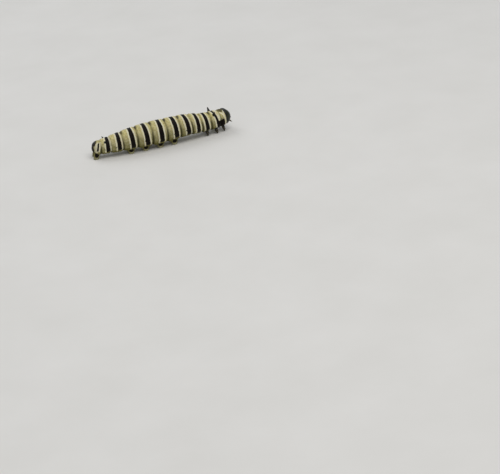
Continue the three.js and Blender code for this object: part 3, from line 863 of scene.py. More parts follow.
def marked_colour(graph):
    """The larva's pattern, with shade painted into its folds, creases and low flanks, from the values that
    skin and bristles both carry.
    """
    mottle = graph.noise(9.0, 4.0)
    fine = graph.noise(38.0)
    ground = graph.over(FLANK, "yellow", BACK)
    ground = graph.mix(graph.step(mottle, 0.4, 0.66), ground, MOTTLE_TINT, "MULTIPLY")
    # Olive, partly the flank's own tint and partly painted shade on the lower side
    ground = graph.over(ground, "olive", OLIVE, 0.92)
    # Dark folds: partly a faint line between segments, partly painted shade
    ground = graph.over(ground, "fold", FOLD_LINE_AND_SHADE, 0.88)
    pale = graph.math("MULTIPLY_ADD", mottle, 0.3, graph.value("cream"))
    ground = graph.mix(graph.step(pale, 0.3, 0.9), ground, CREAM)
    ground = graph.over(ground, "smear", SMEAR, 0.9)
    ground = graph.over(ground, "sole", SOLE_PALE)
    # Painted shade in the folds and creases, by their depth
    ground = graph.over(ground, "depth", CREASE_SHADE, 0.45, "MULTIPLY")
    speckle = graph.math("MULTIPLY", graph.step(fine, 0.5, 0.72), 0.3)
    ground = graph.mix(speckle, ground, SPECKLE_TINT, "MULTIPLY")
    ragged = graph.math("MULTIPLY_ADD", fine, 0.02, graph.value("dark"))
    ink = graph.mix(graph.step(mottle, 0.35, 0.7), BLACK, BROWN_BLACK)
    return graph.mix(graph.step(ragged, 0.024, 0.002), ground, ink)


def skin_material():
    graph = Graph("larva_skin")
    colour = marked_colour(graph)
    wrinkles = graph.noise(3.0, 4.0, 0.6, stretch=(14.0, 2.2, 2.2), distortion=0.4)
    grains = graph.cells(46.0)
    pores = graph.noise(60.0, 2.0)
    normal = graph.relief((wrinkles, 0.012), (grains, 0.0035), (pores, 0.002))
    rough = graph.uneven(0.38, 0.2, 14.0)
    graph.surface(Base_Color=colour, Roughness=rough, Normal=normal, Specular_IOR_Level=0.11)
    graph.surface(Subsurface_Weight=0.18, Subsurface_Radius=(1.0, 0.7, 0.35))
    graph.surface(Subsurface_Scale=0.12 * METRES)
    return graph.material


def bristle_material():
    graph = Graph("larva_bristles")
    tinted = graph.mix(0.5, marked_colour(graph), BRISTLE_TINT)
    rough = graph.uneven(0.5, 0.2, 30.0)
    graph.surface(Base_Color=tinted, Roughness=rough, Specular_IOR_Level=0.1)
    return graph.material


def hard_material(name, colour, other, roughness, pit_scale, pit_depth):
    """Dark horny cover: two tones, fine pits and a satin to glossy shine."""
    graph = Graph(name)
    base = graph.mix(graph.step(graph.noise(7.0, 4.0), 0.35, 0.68), colour, other)
    base = graph.over(base, "soft", SOFT_JOINT, 0.8)
    pits = graph.cells(pit_scale)
    grain = graph.noise(pit_scale * 2.2, 2.0)
    normal = graph.relief((pits, pit_depth), (grain, pit_depth * 0.6))
    rough = graph.uneven(roughness - 0.09, 0.18, 20.0)
    graph.surface(Base_Color=base, Roughness=rough, Normal=normal, Specular_IOR_Level=0.28)
    return graph.material


def capsule_material():
    graph = Graph("larva_head")
    tones = graph.step(graph.noise(6.0, 4.0), 0.32, 0.7)
    base = graph.mix(tones, srgb(32, 38, 14), srgb(20, 24, 8))
    base = graph.over(base, "rear", srgb(14, 12, 8))
    base = graph.over(base, "yellow", FACE_YELLOW)
    base = graph.over(base, "groove", srgb(10, 9, 6), 0.8)
    normal = graph.relief((graph.cells(34.0), 0.0016), (graph.noise(70.0, 2.0), 0.0014))
    rough = graph.uneven(0.26, 0.18, 16.0)
    graph.surface(Base_Color=base, Roughness=rough, Normal=normal, Specular_IOR_Level=0.3)
    return graph.material


def lens_material():
    graph = Graph("larva_lens")
    tint = graph.mix(graph.noise(40.0, 2.0), srgb(12, 10, 8), srgb(40, 26, 12))
    graph.surface(Base_Color=tint, Roughness=graph.math("MULTIPLY", graph.noise(60.0), 0.16))
    graph.surface(Coat_Weight=1.0, Coat_Roughness=0.03)
    return graph.material


# Bristles

SHORT_BRISTLE = (0.026, 0.044)
LONG_BRISTLE = (0.045, 0.058)
BRISTLE_WIDTH = 0.0026
BRISTLE_LEAN = (0.75, 1.2)
BRISTLE_DROOP = 0.25
BRISTLE_ROWS = 7
BRISTLE_COLUMNS = 5
BRISTLE_ENDS = {"tail": 10, "neck": 4}
BRISTLE_LIMITS = {"depth": 0.45, "sole": 0.2}
BRISTLE_SCATTER = 0.13
HAIR_FACES = [[2, 1, 0], [0, 1, 4, 3], [1, 2, 5, 4], [2, 0, 3, 5], [3, 4, 6], [4, 5, 6], [5, 3, 6]]


def hairs(roots, ways, lengths, width, droop):
    """Closed thin cones that bend towards a droop vector. Returns shape, and each point's hair."""
    upright = np.abs(ways[:, 2:]) > 0.9
    side = unit(np.cross(ways, np.where(upright, [[1.0, 0.0, 0.0]], [UP])))
    other = np.cross(ways, side)
    lengths = lengths[:, None]
    rows = []
    for share, thick in ((-0.12, 1.0), (0.5, 0.62)):
        centre = roots + ways * share * lengths + droop * max(share, 0) ** 2 * lengths
        for turn in full_turn(3):
            rows.append(centre + width * thick * (math.cos(turn) * side + math.sin(turn) * other))
    rows.append(roots + (ways + droop) * lengths)
    points = np.stack(rows, axis=1)
    count, each = points.shape[:2]
    faces = []
    for face in HAIR_FACES:
        faces += (each * np.arange(count)[:, None] + np.array(face)).tolist()
    return (points.reshape(-1, 3), faces), np.repeat(np.arange(count), each)


def patch_uv(u, v, owner):
    """A patch about 0.003 across for each hair, at its root's place on the unwrapped skin."""
    turns = full_turn(3)
    circle = np.stack([np.cos(turns), np.sin(turns)], axis=-1)
    offsets = np.concatenate([0.0015 * circle, 0.0008 * circle, [[0.0, 0.0]]])
    return np.stack([u[owner], v[owner]], axis=-1) + np.tile(offsets, (len(u), 1))


def add_bristles(s, phi, grid, marks, material):
    """Short stubble over the skin and longer bristles on its bumps."""
    rng = np.random.default_rng(21)
    rows, columns = grid.shape[0] - len(ROLLED_RIM), grid.shape[1]
    skin = grid[:rows]
    along = np.roll(skin, -1, axis=0) - np.roll(skin, 1, axis=0)
    around = np.roll(skin, -1, axis=1) - np.roll(skin, 1, axis=1)
    normals = unit(np.cross(around, along))
    outward = np.einsum("rck,rck->rc", normals, skin - body_frame(s.reshape(rows, columns))[0])
    normals = (normals * np.where(np.median(outward) > 0, 1, -1)).reshape(-1, 3)
    picks = []
    last = rows - BRISTLE_ENDS["neck"]
    for row in range(BRISTLE_ENDS["tail"], last, BRISTLE_ROWS):
        for column in range(0, columns, BRISTLE_COLUMNS):
            r = min(row + rng.integers(0, BRISTLE_ROWS), last - 1)
            c = (column + rng.integers(0, BRISTLE_COLUMNS)) % columns
            picks.append(r * columns + c)
    picks = np.array(picks)
    for key, limit in BRISTLE_LIMITS.items():
        picks = picks[marks[key][picks] < limit]
    longer = [int(np.argmin((s - at) ** 2 + (0.6 * (phi - angle)) ** 2)) for at, angle in BUMPS]
    roots = np.concatenate([picks, longer])
    sizes = [rng.uniform(*SHORT_BRISTLE, len(picks)), rng.uniform(*LONG_BRISTLE, len(longer))]
    _, fore, _ = body_frame(s[roots])
    lean = rng.uniform(*BRISTLE_LEAN, len(roots))[:, None]
    ways = unit(normals[roots] - lean * fore + rng.normal(0, BRISTLE_SCATTER, (len(roots), 3)))
    places = skin.reshape(-1, 3)[roots]
    shape, owner = hairs(places, ways, np.concatenate(sizes), BRISTLE_WIDTH, -BRISTLE_DROOP * fore)
    values = {key: numbers[roots][owner] for key, numbers in marks.items()}
    u = 0.02 + 0.96 * s[roots] / NECK
    v = 0.5 + 0.46 * phi[roots] / math.pi
    add_piece("bristles", shape, values, material, "skin", uv=patch_uv(u, v, owner))


# Head


def reach_of(ways, centre, half):
    """Distance from the head's start point along unit ways to the surface of an ellipsoid."""
    p = (HEAD_START - centre) / half
    d = ways / half
    a = np.einsum("...k,...k->...", d, d)
    b = d @ p
    return (-b + np.sqrt(np.maximum(b * b - a * (p @ p - 1), 0))) / a


def smooth_max(a, b, soft):
    return np.maximum(a, b) + np.maximum(soft - np.abs(a - b), 0) ** 2 / (4 * soft)


def head_reach(ways):
    """Distance from the head's start point to its surface along unit ways."""
    middle = np.array([-HEAD_BEHIND_NECK, 0, -SHIELD["drop"]])
    reach = reach_of(ways, middle, SHIELD["half"])
    for side in (-1, 1):
        centre = np.array([-HEAD_BEHIND_NECK, side * LOBE["out"], 0])
        reach = smooth_max(reach, reach_of(ways, centre, LOBE["half"]), 0.012)
    down = np.maximum(-ways[..., 2], 1e-6)
    floor = np.where(ways[..., 2] < 0, ORAL_DROP / down, 9.0)
    return -smooth_max(-reach, -floor, 0.03)


def head_at(local):
    """A place given from the middle of the head: ahead, left and up."""
    centre, fore, left = body_frame(NECK)
    middle = np.array([centre[0], centre[1], HEAD_HEIGHT])
    return middle + local[..., :1] * fore + local[..., 1:2] * left + local[..., 2:] * UP


def along_ways(ways, reach):
    """Places in the head's own axes, each at its distance from the start point."""
    return HEAD_START + ways * reach[..., None]


def head_way(polar, turn):
    """Unit way at an angle from straight ahead, turned from the top towards the left."""
    return np.stack([np.cos(polar), np.sin(polar) * np.sin(turn), np.sin(polar) * np.cos(turn)], axis=-1)


FACE = {"apex": 0.07, "base": -0.26, "half": 0.15}
GROOVE = {"depth": 0.011, "width": 0.011, "seam": 0.012}
OUTER_GROOVE = {"off": 0.05, "width": 0.009, "strength": 0.7, "ends": (-0.3, -0.2)}
DENTS = {"count": 7, "spread": 26, "turns": 6.28, "depth": 0.0008}

# Yellow fields by their distance from the edge of the frontal triangle: from, to, edge
FACE_FIELDS = [(-0.2, -0.028, 0.01), (0.022, 0.04, 0.007)]
OUTER_FIELD = (0.095, 0.118, 0.008)
OUTER_FIELD_SHARE = 0.7

# Where these set in on the head: ahead of its middle the grooves and the yellow, above the
# apex of the triangle the seam, and upward the outer yellow; and where the dark rear ends
GROOVES_FROM = (0.1, 0.2)
YELLOW_FROM = (0.14, 0.24)
SEAM_FROM = (FACE["apex"] + 0.02, FACE["apex"] + 0.06)
OUTER_FIELD_FROM = (-0.24, -0.1)
REAR_ENDS = (0.06, 0.12)
YELLOW_OFF_SEAM = 0.03

# Rings behind the head's widest: how far behind it, and their share of its size
HEAD_REAR = [(0.0175, 0.995), (0.0375, 0.985), (0.06, 0.96), (0.09, 0.92)]
HEAD_ROWS = 96
HEAD_COLUMNS = 180


def face_lines(local):
    """Distance to the frontal triangle's edge, below zero inside it, and to the midline above."""
    y, z = np.abs(local[..., 1]), local[..., 2]
    height = FACE["apex"] - FACE["base"]
    normal = np.array([height, FACE["half"]]) / math.hypot(height, FACE["half"])
    slanted = y * normal[0] + (z - FACE["apex"]) * normal[1]
    return np.maximum(slanted, FACE["base"] - z), y


def build_capsule():
    """The head's hard shell, closed behind, with values for its face lines and its rear."""
    polar = np.linspace(0, math.pi / 2, HEAD_ROWS + 1)[1:]
    ways = head_way(*np.meshgrid(polar, full_turn(HEAD_COLUMNS), indexing="ij"))
    reach = head_reach(ways)
    smooth = along_ways(ways, reach)
    x, _, z = np.moveaxis(smooth, -1, 0)
    triangle, middle = face_lines(smooth)
    front = smoothstep(x, *GROOVES_FROM)
    above = smoothstep(z, *SEAM_FROM)
    edge = front * bell(triangle, 0, GROOVE["width"])
    outer = front * bell(triangle, OUTER_GROOVE["off"], OUTER_GROOVE["width"])
    outer *= OUTER_GROOVE["strength"] * smoothstep(z, *OUTER_GROOVE["ends"])
    groove = np.maximum.reduce([edge, above * bell(middle, 0, GROOVE["seam"]), outer])
    rng = np.random.default_rng(8)
    dents = 0
    for _ in range(DENTS["count"]):
        waves = smooth @ rng.normal(0, DENTS["spread"], 3)
        dents = dents + np.cos(waves + rng.uniform(0, DENTS["turns"]))
    local = along_ways(ways, reach - GROOVE["depth"] * groove + DENTS["depth"] * dents)
    rings = [head_at(local)]
    for behind, scale in HEAD_REAR:
        rear = local[-1] * np.array([1, scale, scale])
        rear[:, 0] -= behind
        rings.append(head_at(rear)[None])
    ahead = np.array([1.0, 0.0, 0.0])
    tip = head_at(along_ways(ahead, head_reach(ahead) - GROOVE["depth"]))
    shape = loft(np.concatenate(rings), tip, head_at(-HEAD_START))
    x, _, z = np.moveaxis(local, -1, 0)
    yellow = sum(window(triangle, *field) for field in FACE_FIELDS)
    outer = OUTER_FIELD_SHARE * window(triangle, *OUTER_FIELD)
    yellow += outer * smoothstep(z, *OUTER_FIELD_FROM)
    yellow *= smoothstep(x, *YELLOW_FROM) * (1 - above * bell(middle, 0, YELLOW_OFF_SEAM))
    values = {}
    fields = {"yellow": (np.clip(yellow, 0, 1), 0.0, 1.0), "groove": (groove, 0.0, 0.0)}
    fields["rear"] = (fall(x, *REAR_ENDS), 1.0, 0.0)
    for key, (numbers, behind, foremost) in fields.items():
        rest = np.full(len(HEAD_REAR) * HEAD_COLUMNS, behind)
        values[key] = np.concatenate([numbers.ravel(), rest, [foremost, behind]])
    return shape, values


EYE_MIDDLE = np.array([0.62, 0.76, -0.16])
EYE_ARC = 0.092
EYE_TURNS = (-50, 185)
EYE_COUNT = 6
LENS = {"radius": 0.027, "height": 0.024, "sink": 0.006, "sides": 24, "rings": 8}
SMALLER_LENS = 0.9


def eye_way(side, share):
    """Unit way to a place on the curved row of eyes, share 0 to 1."""
    middle = unit(EYE_MIDDLE * [1, side, 1])
    back = unit(np.array([-EYE_MIDDLE[1], side * EYE_MIDDLE[0], 0]))
    up = unit(UP - (UP @ middle) * middle)
    turn = math.radians(EYE_TURNS[0] + share * (EYE_TURNS[1] - EYE_TURNS[0]))
    reach = EYE_ARC / head_reach(middle)
    return unit(middle + back * reach * math.cos(turn) + up * reach * math.sin(turn))


def dome_on_head(way, size):
    """A round lens set a little into the head."""
    side = unit(np.cross(UP, way))
    other = np.cross(way, side)
    foot = along_ways(way, head_reach(way) - LENS["sink"])
    height = LENS["height"] * size + LENS["sink"]
    turns = full_turn(LENS["sides"])[:, None]
    circle = LENS["radius"] * size * (np.cos(turns) * side + np.sin(turns) * other)
    rings = []
    for angle in np.linspace(0, math.pi / 2, LENS["rings"] + 1)[:-1]:
        rings.append(head_at(foot + height * math.sin(angle) * way + math.cos(angle) * circle))
    return loft(rings, head_at(foot), head_at(foot + height * way))


def build_lenses(side):
    domes = []
    for i in range(EYE_COUNT):
        size = 1.0 if i < 4 else SMALLER_LENS
        domes.append(dome_on_head(eye_way(side, (i + 0.5) / EYE_COUNT), size))
    return joined(domes), {}


def tube(path, radii, sides):
    """A closed tube along a path of points, one radius for each."""
    ways = unit(np.gradient(path, axis=0))
    side = unit(np.cross(ways[0], UP + 0.01))
    turns = full_turn(sides)[:, None]
    rings = []
    for centre, way, radius in zip(path, ways, radii):
        side = unit(side - (side @ way) * way)
        rings.append(centre + radius * (np.cos(turns) * side + np.sin(turns) * np.cross(way, side)))
    return loft(rings, path[0], path[-1])


ANTENNA_AIM = (0.6, 0.42, -0.56)
ANTENNA_RADII = (0.044, 0.034, 0.024, 0.012)
ANTENNA = {"step": 0.042, "starts": 0.005, "out": 0.015, "gap": 0.004, "sides": 20, "softness": 0.8}
ANTENNA_ROWS = [(0.0, 0.93), (0.18, 1.0), (0.6, 1.0), (0.9, 0.92)]


def build_antenna(side):
    """Rings of a stubby antenna, each joint narrower than the last, with soft skin between."""
    aim = unit(np.array(ANTENNA_AIM) * [1, side, 1])
    rows = [(0.0, ANTENNA_RADII[0], 1.0)]
    for i, radius in enumerate(ANTENNA_RADII):
        low = max(ANTENNA["step"] * i, ANTENNA["starts"])
        high = ANTENNA["step"] * (i + 1)
        for share, scale in ANTENNA_ROWS:
            lift = ANTENNA["out"] + low + share * (high - low) + ANTENNA["gap"] * i
            between = share == 0 and radius != ANTENNA_RADII[-1]
            rows.append((lift, radius * scale, ANTENNA["softness"] if between else 0.0))
    lifts, radii, soft = np.array(rows).T
    path = head_at(along_ways(aim, head_reach(aim) + lifts))
    soft = np.append(np.repeat(soft, ANTENNA["sides"]), [1.0, 0.0])
    return tube(path, radii, ANTENNA["sides"]), {"soft": soft}


# Sections of the mouthparts, from the head down: ahead, out, drop, half length, half width
MANDIBLE = [
    (0.17, 0.094, -0.03, 0.06, 0.075),
    (0.172, 0.094, 0.02, 0.066, 0.082),
    (0.178, 0.092, 0.07, 0.062, 0.077),
    (0.197, 0.078, 0.125, 0.047, 0.06),
    (0.212, 0.055, 0.158, 0.026, 0.034),
]
MAXILLA = [
    (0.07, 0.118, -0.03, 0.032, 0.052),
    (0.07, 0.118, 0.025, 0.034, 0.056),
    (0.072, 0.112, 0.082, 0.031, 0.047),
    (0.08, 0.106, 0.125, 0.022, 0.032),
    (0.09, 0.1, 0.163, 0.01, 0.012),
]
LABIUM = [
    (0.065, 0.0, -0.03, 0.03, 0.042),
    (0.065, 0.0, 0.025, 0.031, 0.046),
    (0.066, 0.0, 0.085, 0.028, 0.036),
    (0.07, 0.0, 0.13, 0.017, 0.02),
    (0.075, 0.0, 0.173, 0.008, 0.008),
]
MOUTH_SIDES = 28
MOUTH_ROWS = 22
JAW_NOTCHES = 0.012
MOUTH_JOINT = {"from": 0.48, "to": 0.54, "edge": 0.02, "softness": 0.6}

# The upper lip, and its rings from the top down: share of its drop, and fullness
LABRUM = {"fore": 0.275, "half": 0.026, "across": 0.13, "drop": 0.125}
LABRUM_NOTCH = {"height": 0.042, "half": 0.03}
LABRUM_RINGS = [(-0.25, 1.0), (0.1, 1.0), (0.45, 1.0), (0.8, 0.97), (0.95, 0.85), (1.0, 0.6)]


def build_mouthpart(side, sections, notches=0.0):
    """A smooth body through oval sections that hang from the head's underside."""
    turns = full_turn(MOUTH_SIDES)
    rings = []
    for fore, out, drop, half, across in sections:
        x = fore + half * np.cos(turns)
        y = side * out + across * np.sin(turns)
        rings.append(np.stack([x, y, np.full(MOUTH_SIDES, -ORAL_DROP - drop)], axis=-1))
    fine = through(np.arange(len(rings)), rings, np.linspace(0, len(rings) - 1, MOUTH_ROWS))
    teeth = np.cos(3.5 * np.linspace(-math.pi, math.pi, MOUTH_SIDES))
    fine[-1, :, 2] -= notches * np.maximum(teeth, 0)
    shape = loft(head_at(fine), head_at(fine[0].mean(axis=0)), head_at(fine[-1].mean(axis=0)))
    if notches:
        return shape, {}
    joint = MOUTH_JOINT
    soft = window(np.linspace(0, 1, MOUTH_ROWS), joint["from"], joint["to"], joint["edge"])
    return shape, {"soft": np.append(np.repeat(joint["softness"] * soft, MOUTH_SIDES), [0.0, 0.0])}


def build_labrum():
    """The upper lip: a low plate with a notch in the middle of its edge."""
    turns = full_turn(60)
    fore, drop = LABRUM["fore"], LABRUM["drop"]
    left = LABRUM["across"] * np.sign(np.sin(turns)) * np.sqrt(np.abs(np.sin(turns)))
    notch = LABRUM_NOTCH["height"] * bell(left, 0, LABRUM_NOTCH["half"])
    rings = []
    for share, full in LABRUM_RINGS:
        x = fore + LABRUM["half"] * full * np.cos(turns)
        z = -ORAL_DROP - share * drop + max(share, 0) * notch
        rings.append(np.stack([x, left * (0.9 + 0.1 * full), z], axis=-1))
    top = np.array([fore, 0, -ORAL_DROP - LABRUM_RINGS[0][0] * drop])
    bottom = np.array([fore, 0, -ORAL_DROP - drop + LABRUM_NOTCH["height"]])
    return loft(head_at(np.stack(rings)), head_at(top), head_at(bottom)), {}


# Legs, horns, plate and feet

LEG_SIDES = 24
LEG_STATIONS = 56
LEG_ROOT = {"depth": 0.05, "radius": 0.108}
LEG_SOFT_JOINTS = (0.9, 2.0, 3.0, 4.0)

# Of each soft joint, counted in knots along the leg: the pinch, the fuller ring after it and
# the reach of its pale skin
LEG_PINCH = {"depth": 0.13, "reach": 0.09}
LEG_FULLER = {"height": 0.07, "after": 0.25, "reach": 0.13}
LEG_SKIN = {"before": 0.08, "after": 0.06, "edge": 0.04}
LEG_TIP = [0.97, 0.9, 0.75]
CLAW = {"room": 0.035, "ahead": 0.055, "in": 0.03, "radius": 0.017, "tip": 0.002, "rows": 9, "sides": 12}
CLAW_HEIGHT = {"tip": 0.006, "least": 0.005}

# Horns: behind the black band of their segment, and how far their tip bends back
HORNS = {
    "front": {"on": "mesothorax", "behind": 0.11, "angle": 37, "root": 0.09, "rise": 0.27, "back": 0.0},
    "rear": {"on": "abdomen_8", "behind": 0.03, "angle": 43, "root": 0.06, "rise": 0.11, "back": 0.08},
}
HORN_FOOT = -0.14
HORN_PLACES = [HORN_FOOT, 0, 0.08, 0.28, 0.52, 0.76, 0.94, 1]
HORN_THICKNESS = [1.2, 1.12, 0.98, 0.82, 0.64, 0.48, 0.3, 0.05]
HORN_RINGS = {"count": 9, "depth": 0.045}
HORN_STATIONS = 64
HORN_SIDES = 28

# Domed ovals on the skin, ring by ring: share of their half size, and lift
PLATE = {"s": 0.14, "half": 0.11, "around": 0.27, "sides": 64, "ruffle": 0.02}
PLATE_RINGS = [(0.0, -0.01), (0.5, -0.01), (0.94, -0.01), (1.0, 0.006), (1.0, 0.018), (0.96, 0.03)]
PLATE_RINGS += [(0.86, 0.04), (0.7, 0.047), (0.5, 0.052), (0.28, 0.054), (0.12, 0.055), (0.0, 0.055)]
SPIRACLE = {"angle": 95, "taller": 1.35, "sides": 20}
SPIRACLE_RINGS = [(0.0, -0.004), (1.15, -0.005), (1.1, 0.007), (0.95, 0.012), (0.78, 0.011)]
SPIRACLE_RINGS += [(0.66, 0.004), (0.4, -0.001), (0.0, 0.001)]
SPIRACLES = {"prothorax": {"ahead": 0.03, "size": 0.026}}
SPIRACLES |= {f"abdomen_{n}": {"ahead": -0.06, "size": 0.02} for n in range(1, 9)}
HOOKS = {"count": 13, "from": 1.08, "to": 1.92, "in": 0.93, "lift": 0.006, "length": 0.034, "width": 0.005}

# Hairs on one side of the head: angle from straight ahead, and turn from the top
HEAD_HAIRS = [(28, 20), (34, 62), (50, 14), (52, 48), (56, 82), (74, 22), (76, 56), (78, 90)]
HEAD_HAIRS += [(40, 108), (62, 118), (80, 124), (22, 150), (45, 150)]
HEAD_HAIR = {"lengths": (0.05, 0.085), "width": 0.0034, "droop": 0.2}
HEAD_HAIR |= {"lean": 0.35, "scatter": 0.1}


def build_leg(side, name):
    """A jointed leg: four horny rings parted by soft skin, and a hooked claw on the floor."""
    segment, scale = LEGS[name]
    at = MIDDLES[NAMES.index(segment)]
    phi = side * math.radians(LEG_ANGLE)
    centre, fore, left = body_frame(at)
    root_height = skin_point(at, phi, GAP)[2]
    knots = [[*skin_point(at, phi, -LEG_ROOT["depth"]), LEG_ROOT["radius"] * scale]]
    for ahead, out, height, radius in LEG_JOINTS:
        x, y, _ = centre + ahead * fore + side * out * scale * left
        knots.append([x, y, height * root_height, radius * scale])
    knots = np.array(knots)
    knots[-1, :3] += CLAW["room"] * unit(knots[-2, :3] - knots[-1, :3])
    places = np.linspace(0, len(knots) - 1, LEG_STATIONS)
    *path, thick = through(np.arange(len(knots)), knots, places).T
    path = np.stack(path, axis=-1)
    soft = np.zeros(LEG_STATIONS)
    for joint in LEG_SOFT_JOINTS:
        pinch = LEG_PINCH["depth"] * bell(places, joint, LEG_PINCH["reach"])
        fuller = LEG_FULLER["height"] * bell(places, joint + LEG_FULLER["after"], LEG_FULLER["reach"])
        thick = thick * (1 - pinch + fuller)
        start, end = joint - LEG_SKIN["before"], joint + LEG_SKIN["after"]
        soft = np.maximum(soft, window(places, start, end, LEG_SKIN["edge"]))
    thick[-3:] *= LEG_TIP
    t = np.linspace(0, 1, CLAW["rows"])
    onward = unit(path[-1] - path[-4]) * (CLAW["ahead"] * t)[:, None]
    claw_path = path[-1] + onward - CLAW["in"] * side * left * (t**2)[:, None]
    height = path[-1][2] * (1 - t) + CLAW_HEIGHT["tip"] * t
    claw_path[:, 2] = np.maximum(height, CLAW_HEIGHT["least"])
    claw_radii = CLAW["radius"] * scale * (1 - t) ** 0.8 + CLAW["tip"]
    shape = joined([tube(path, thick, LEG_SIDES), tube(claw_path, claw_radii, CLAW["sides"])])
    values = np.zeros(len(shape[0]))
    values[: LEG_STATIONS * LEG_SIDES] = np.repeat(soft, LEG_SIDES)
    return shape, {"soft": values}


def build_horn(side, horn):
    """A soft horn with fine rings, bent back, with a round tip."""
    place = BANDS[NAMES.index(horn["on"])] - horn["behind"]
    centre, fore, _ = body_frame(place)
    root = skin_point(place, side * math.radians(horn["angle"]))
    t = np.linspace(HORN_FOOT, 1, HORN_STATIONS)[:, None]
    path = root + unit(root - centre) * (horn["rise"] + GAP) * t
    path -= horn["back"] * fore * np.maximum(t, 0) ** 2
    t = t[:, 0]
    ringed = smoothstep(t, 0.02, 0.1) * fall(t, 0.85, 1)
    rings = 1 + HORN_RINGS["depth"] * np.cos(2 * math.pi * HORN_RINGS["count"] * t) * ringed
    radii = horn["root"] * np.interp(t, HORN_PLACES, HORN_THICKNESS) * rings
    return tube(path, radii, HORN_SIDES), {}


def mound(at, phi, half, reach, rings, sides, ruffle=0.0):
    """A closed oval body on the skin, from its underside to its top."""
    turns = full_turn(sides)
    rows = []
    for share, lift in rings:
        size = share * (1 + ruffle * share * np.cos(5 * turns))
        rows.append(skin_point(at + size * half * np.cos(turns), phi + size * reach * np.sin(turns), lift))
    return loft(rows[1:-1], rows[0][0], rows[-1][0])


def build_plate():
    """The hard plate over the tail end, domed, with a slightly ruffled edge."""
    at = PLATE["s"]
    reach = PLATE["around"] / (plain_radius(at, 0.0) * tail_dome(at))
    return mound(at, 0.0, PLATE["half"], reach, PLATE_RINGS, PLATE["sides"], PLATE["ruffle"]), {}


def build_spiracles():
    """Breathing holes: a small dark ring on the side of the prothorax and of segments 1 to 8."""
    mounds = []
    for name, spiracle in SPIRACLES.items():
        i = NAMES.index(name)
        size = spiracle["size"]
        reach = size * SPIRACLE["taller"] / RADII[i]
        for side in (-1, 1):
            phi = side * math.radians(SPIRACLE["angle"])
            at = MIDDLES[i] + spiracle["ahead"]
            mounds.append(mound(at, phi, size, reach, SPIRACLE_RINGS, SPIRACLE["sides"]))
    return joined(mounds), {}


def build_hooks():
    """Rows of small brown hooks on the inner half of each sole."""
    roots, ways = [], []
    for at, side, foot in feet():
        centre, fore, left = body_frame(at)
        for turn in np.linspace(math.pi * HOOKS["from"], math.pi * HOOKS["to"], HOOKS["count"]):
            ahead = HOOKS["in"] * SOLE["half"] * math.cos(turn) - foot["back"]
            out = foot["out"] + HOOKS["in"] * SOLE["across"] * math.sin(turn)
            x, y, _ = centre + ahead * fore + side * out * left
            roots.append([x, y, SOLE["height"] + HOOKS["lift"]])
            outward = math.cos(turn) * fore + side * math.sin(turn) * left
            ways.append(unit(outward * 0.8 - 0.5 * UP))
    lengths = np.full(len(roots), HOOKS["length"])
    return hairs(np.array(roots), np.array(ways), lengths, HOOKS["width"], -0.35 * UP)[0], {}


def add_head_hairs(material):
    """Thin hairs on both sides of the head."""
    rng = np.random.default_rng(33)
    polar, turn = np.radians(HEAD_HAIRS).T
    ways = np.concatenate([head_way(polar, side * turn) for side in (-1, 1)])
    out = unit(head_at(ways) - head_at(np.zeros(3)))
    lengths = rng.uniform(*HEAD_HAIR["lengths"], len(ways))
    lean = HEAD_HAIR["lean"] * np.array([1.0, 0, -0.2])
    leaned = unit(out + lean + rng.normal(0, HEAD_HAIR["scatter"], out.shape))
    roots = head_at(along_ways(ways, head_reach(ways)))
    shape, owner = hairs(roots, leaned, lengths, HEAD_HAIR["width"], -HEAD_HAIR["droop"] * UP)
    u, v = 0.1 + 0.8 * (ways[:, 1:] * 0.5 + 0.5).T
    add_piece("head_hairs", shape, {}, material, "head", uv=patch_uv(u, v, owner))


def dress():
    """Makes every piece of the animal."""
    skin_look = skin_material()
    bristle_look = bristle_material()
    horn_look = hard_material("larva_horn", srgb(20, 16, 11), srgb(36, 29, 18), 0.5, 34.0, 0.004)
    leg_look = hard_material("larva_leg", srgb(20, 17, 11), srgb(42, 36, 20), 0.34, 40.0, 0.003)
    mouth_look = hard_material("larva_mouth", srgb(46, 34, 16), srgb(82, 60, 28), 0.3, 44.0, 0.003)
    plate_look = hard_material("larva_plate", srgb(16, 12, 6), srgb(32, 25, 12), 0.4, 30.0, 0.002)
    lens_look = lens_material()
    flesh = NAMES + [f"proleg_{n}_{word}" for n in (3, 4, 5, 6) for word in ("left", "right")]
    flesh += ["anal_proleg_left", "anal_proleg_right"]
    skin, marks, s, phi, grid = build_skin()
    add_piece("skin", skin, marks, skin_look, "skin", flesh)
    add_bristles(s, phi, grid, marks, bristle_look)
    add_piece("capsule", *build_capsule(), capsule_material(), "head", ["head"])
    add_head_hairs(leg_look)
    add_piece("tail_plate", *build_plate(), plate_look, "plate", ["anal_plate"])
    add_piece("lip", *build_labrum(), mouth_look, "mouth", ["labrum"])
    add_piece("lower_lip", *build_mouthpart(0, LABIUM), mouth_look, "mouth", ["labium"])
    add_piece("sole_hooks", *build_hooks(), mouth_look, "leg")
    add_piece("spiracles", *build_spiracles(), plate_look, "plate")
    for side, word in ((1, "left"), (-1, "right")):
        for name, built, look, slot, node in (
            ("lenses", build_lenses(side), lens_look, "eye", "eyes"),
            ("feeler", build_antenna(side), mouth_look, "mouth", "antenna"),
            ("jaw", build_mouthpart(side, MANDIBLE, JAW_NOTCHES), mouth_look, "mouth", "mandible"),
            ("palp", build_mouthpart(side, MAXILLA), mouth_look, "mouth", "maxilla"),
            ("horn_front", build_horn(side, HORNS["front"]), horn_look, "tentacle", "tentacle_front"),
            ("horn_rear", build_horn(side, HORNS["rear"]), horn_look, "tentacle", "tentacle_rear"),
            ("leg_front", build_leg(side, "foreleg"), leg_look, "leg", "foreleg"),
            ("leg_middle", build_leg(side, "midleg"), leg_look, "leg", "midleg"),
            ("leg_hind", build_leg(side, "hindleg"), leg_look, "leg", "hindleg"),
        ):
            add_piece(f"{name}_{word}", *built, look, slot, [f"{node}_{word}"])


# Floor, light and camera, in metres

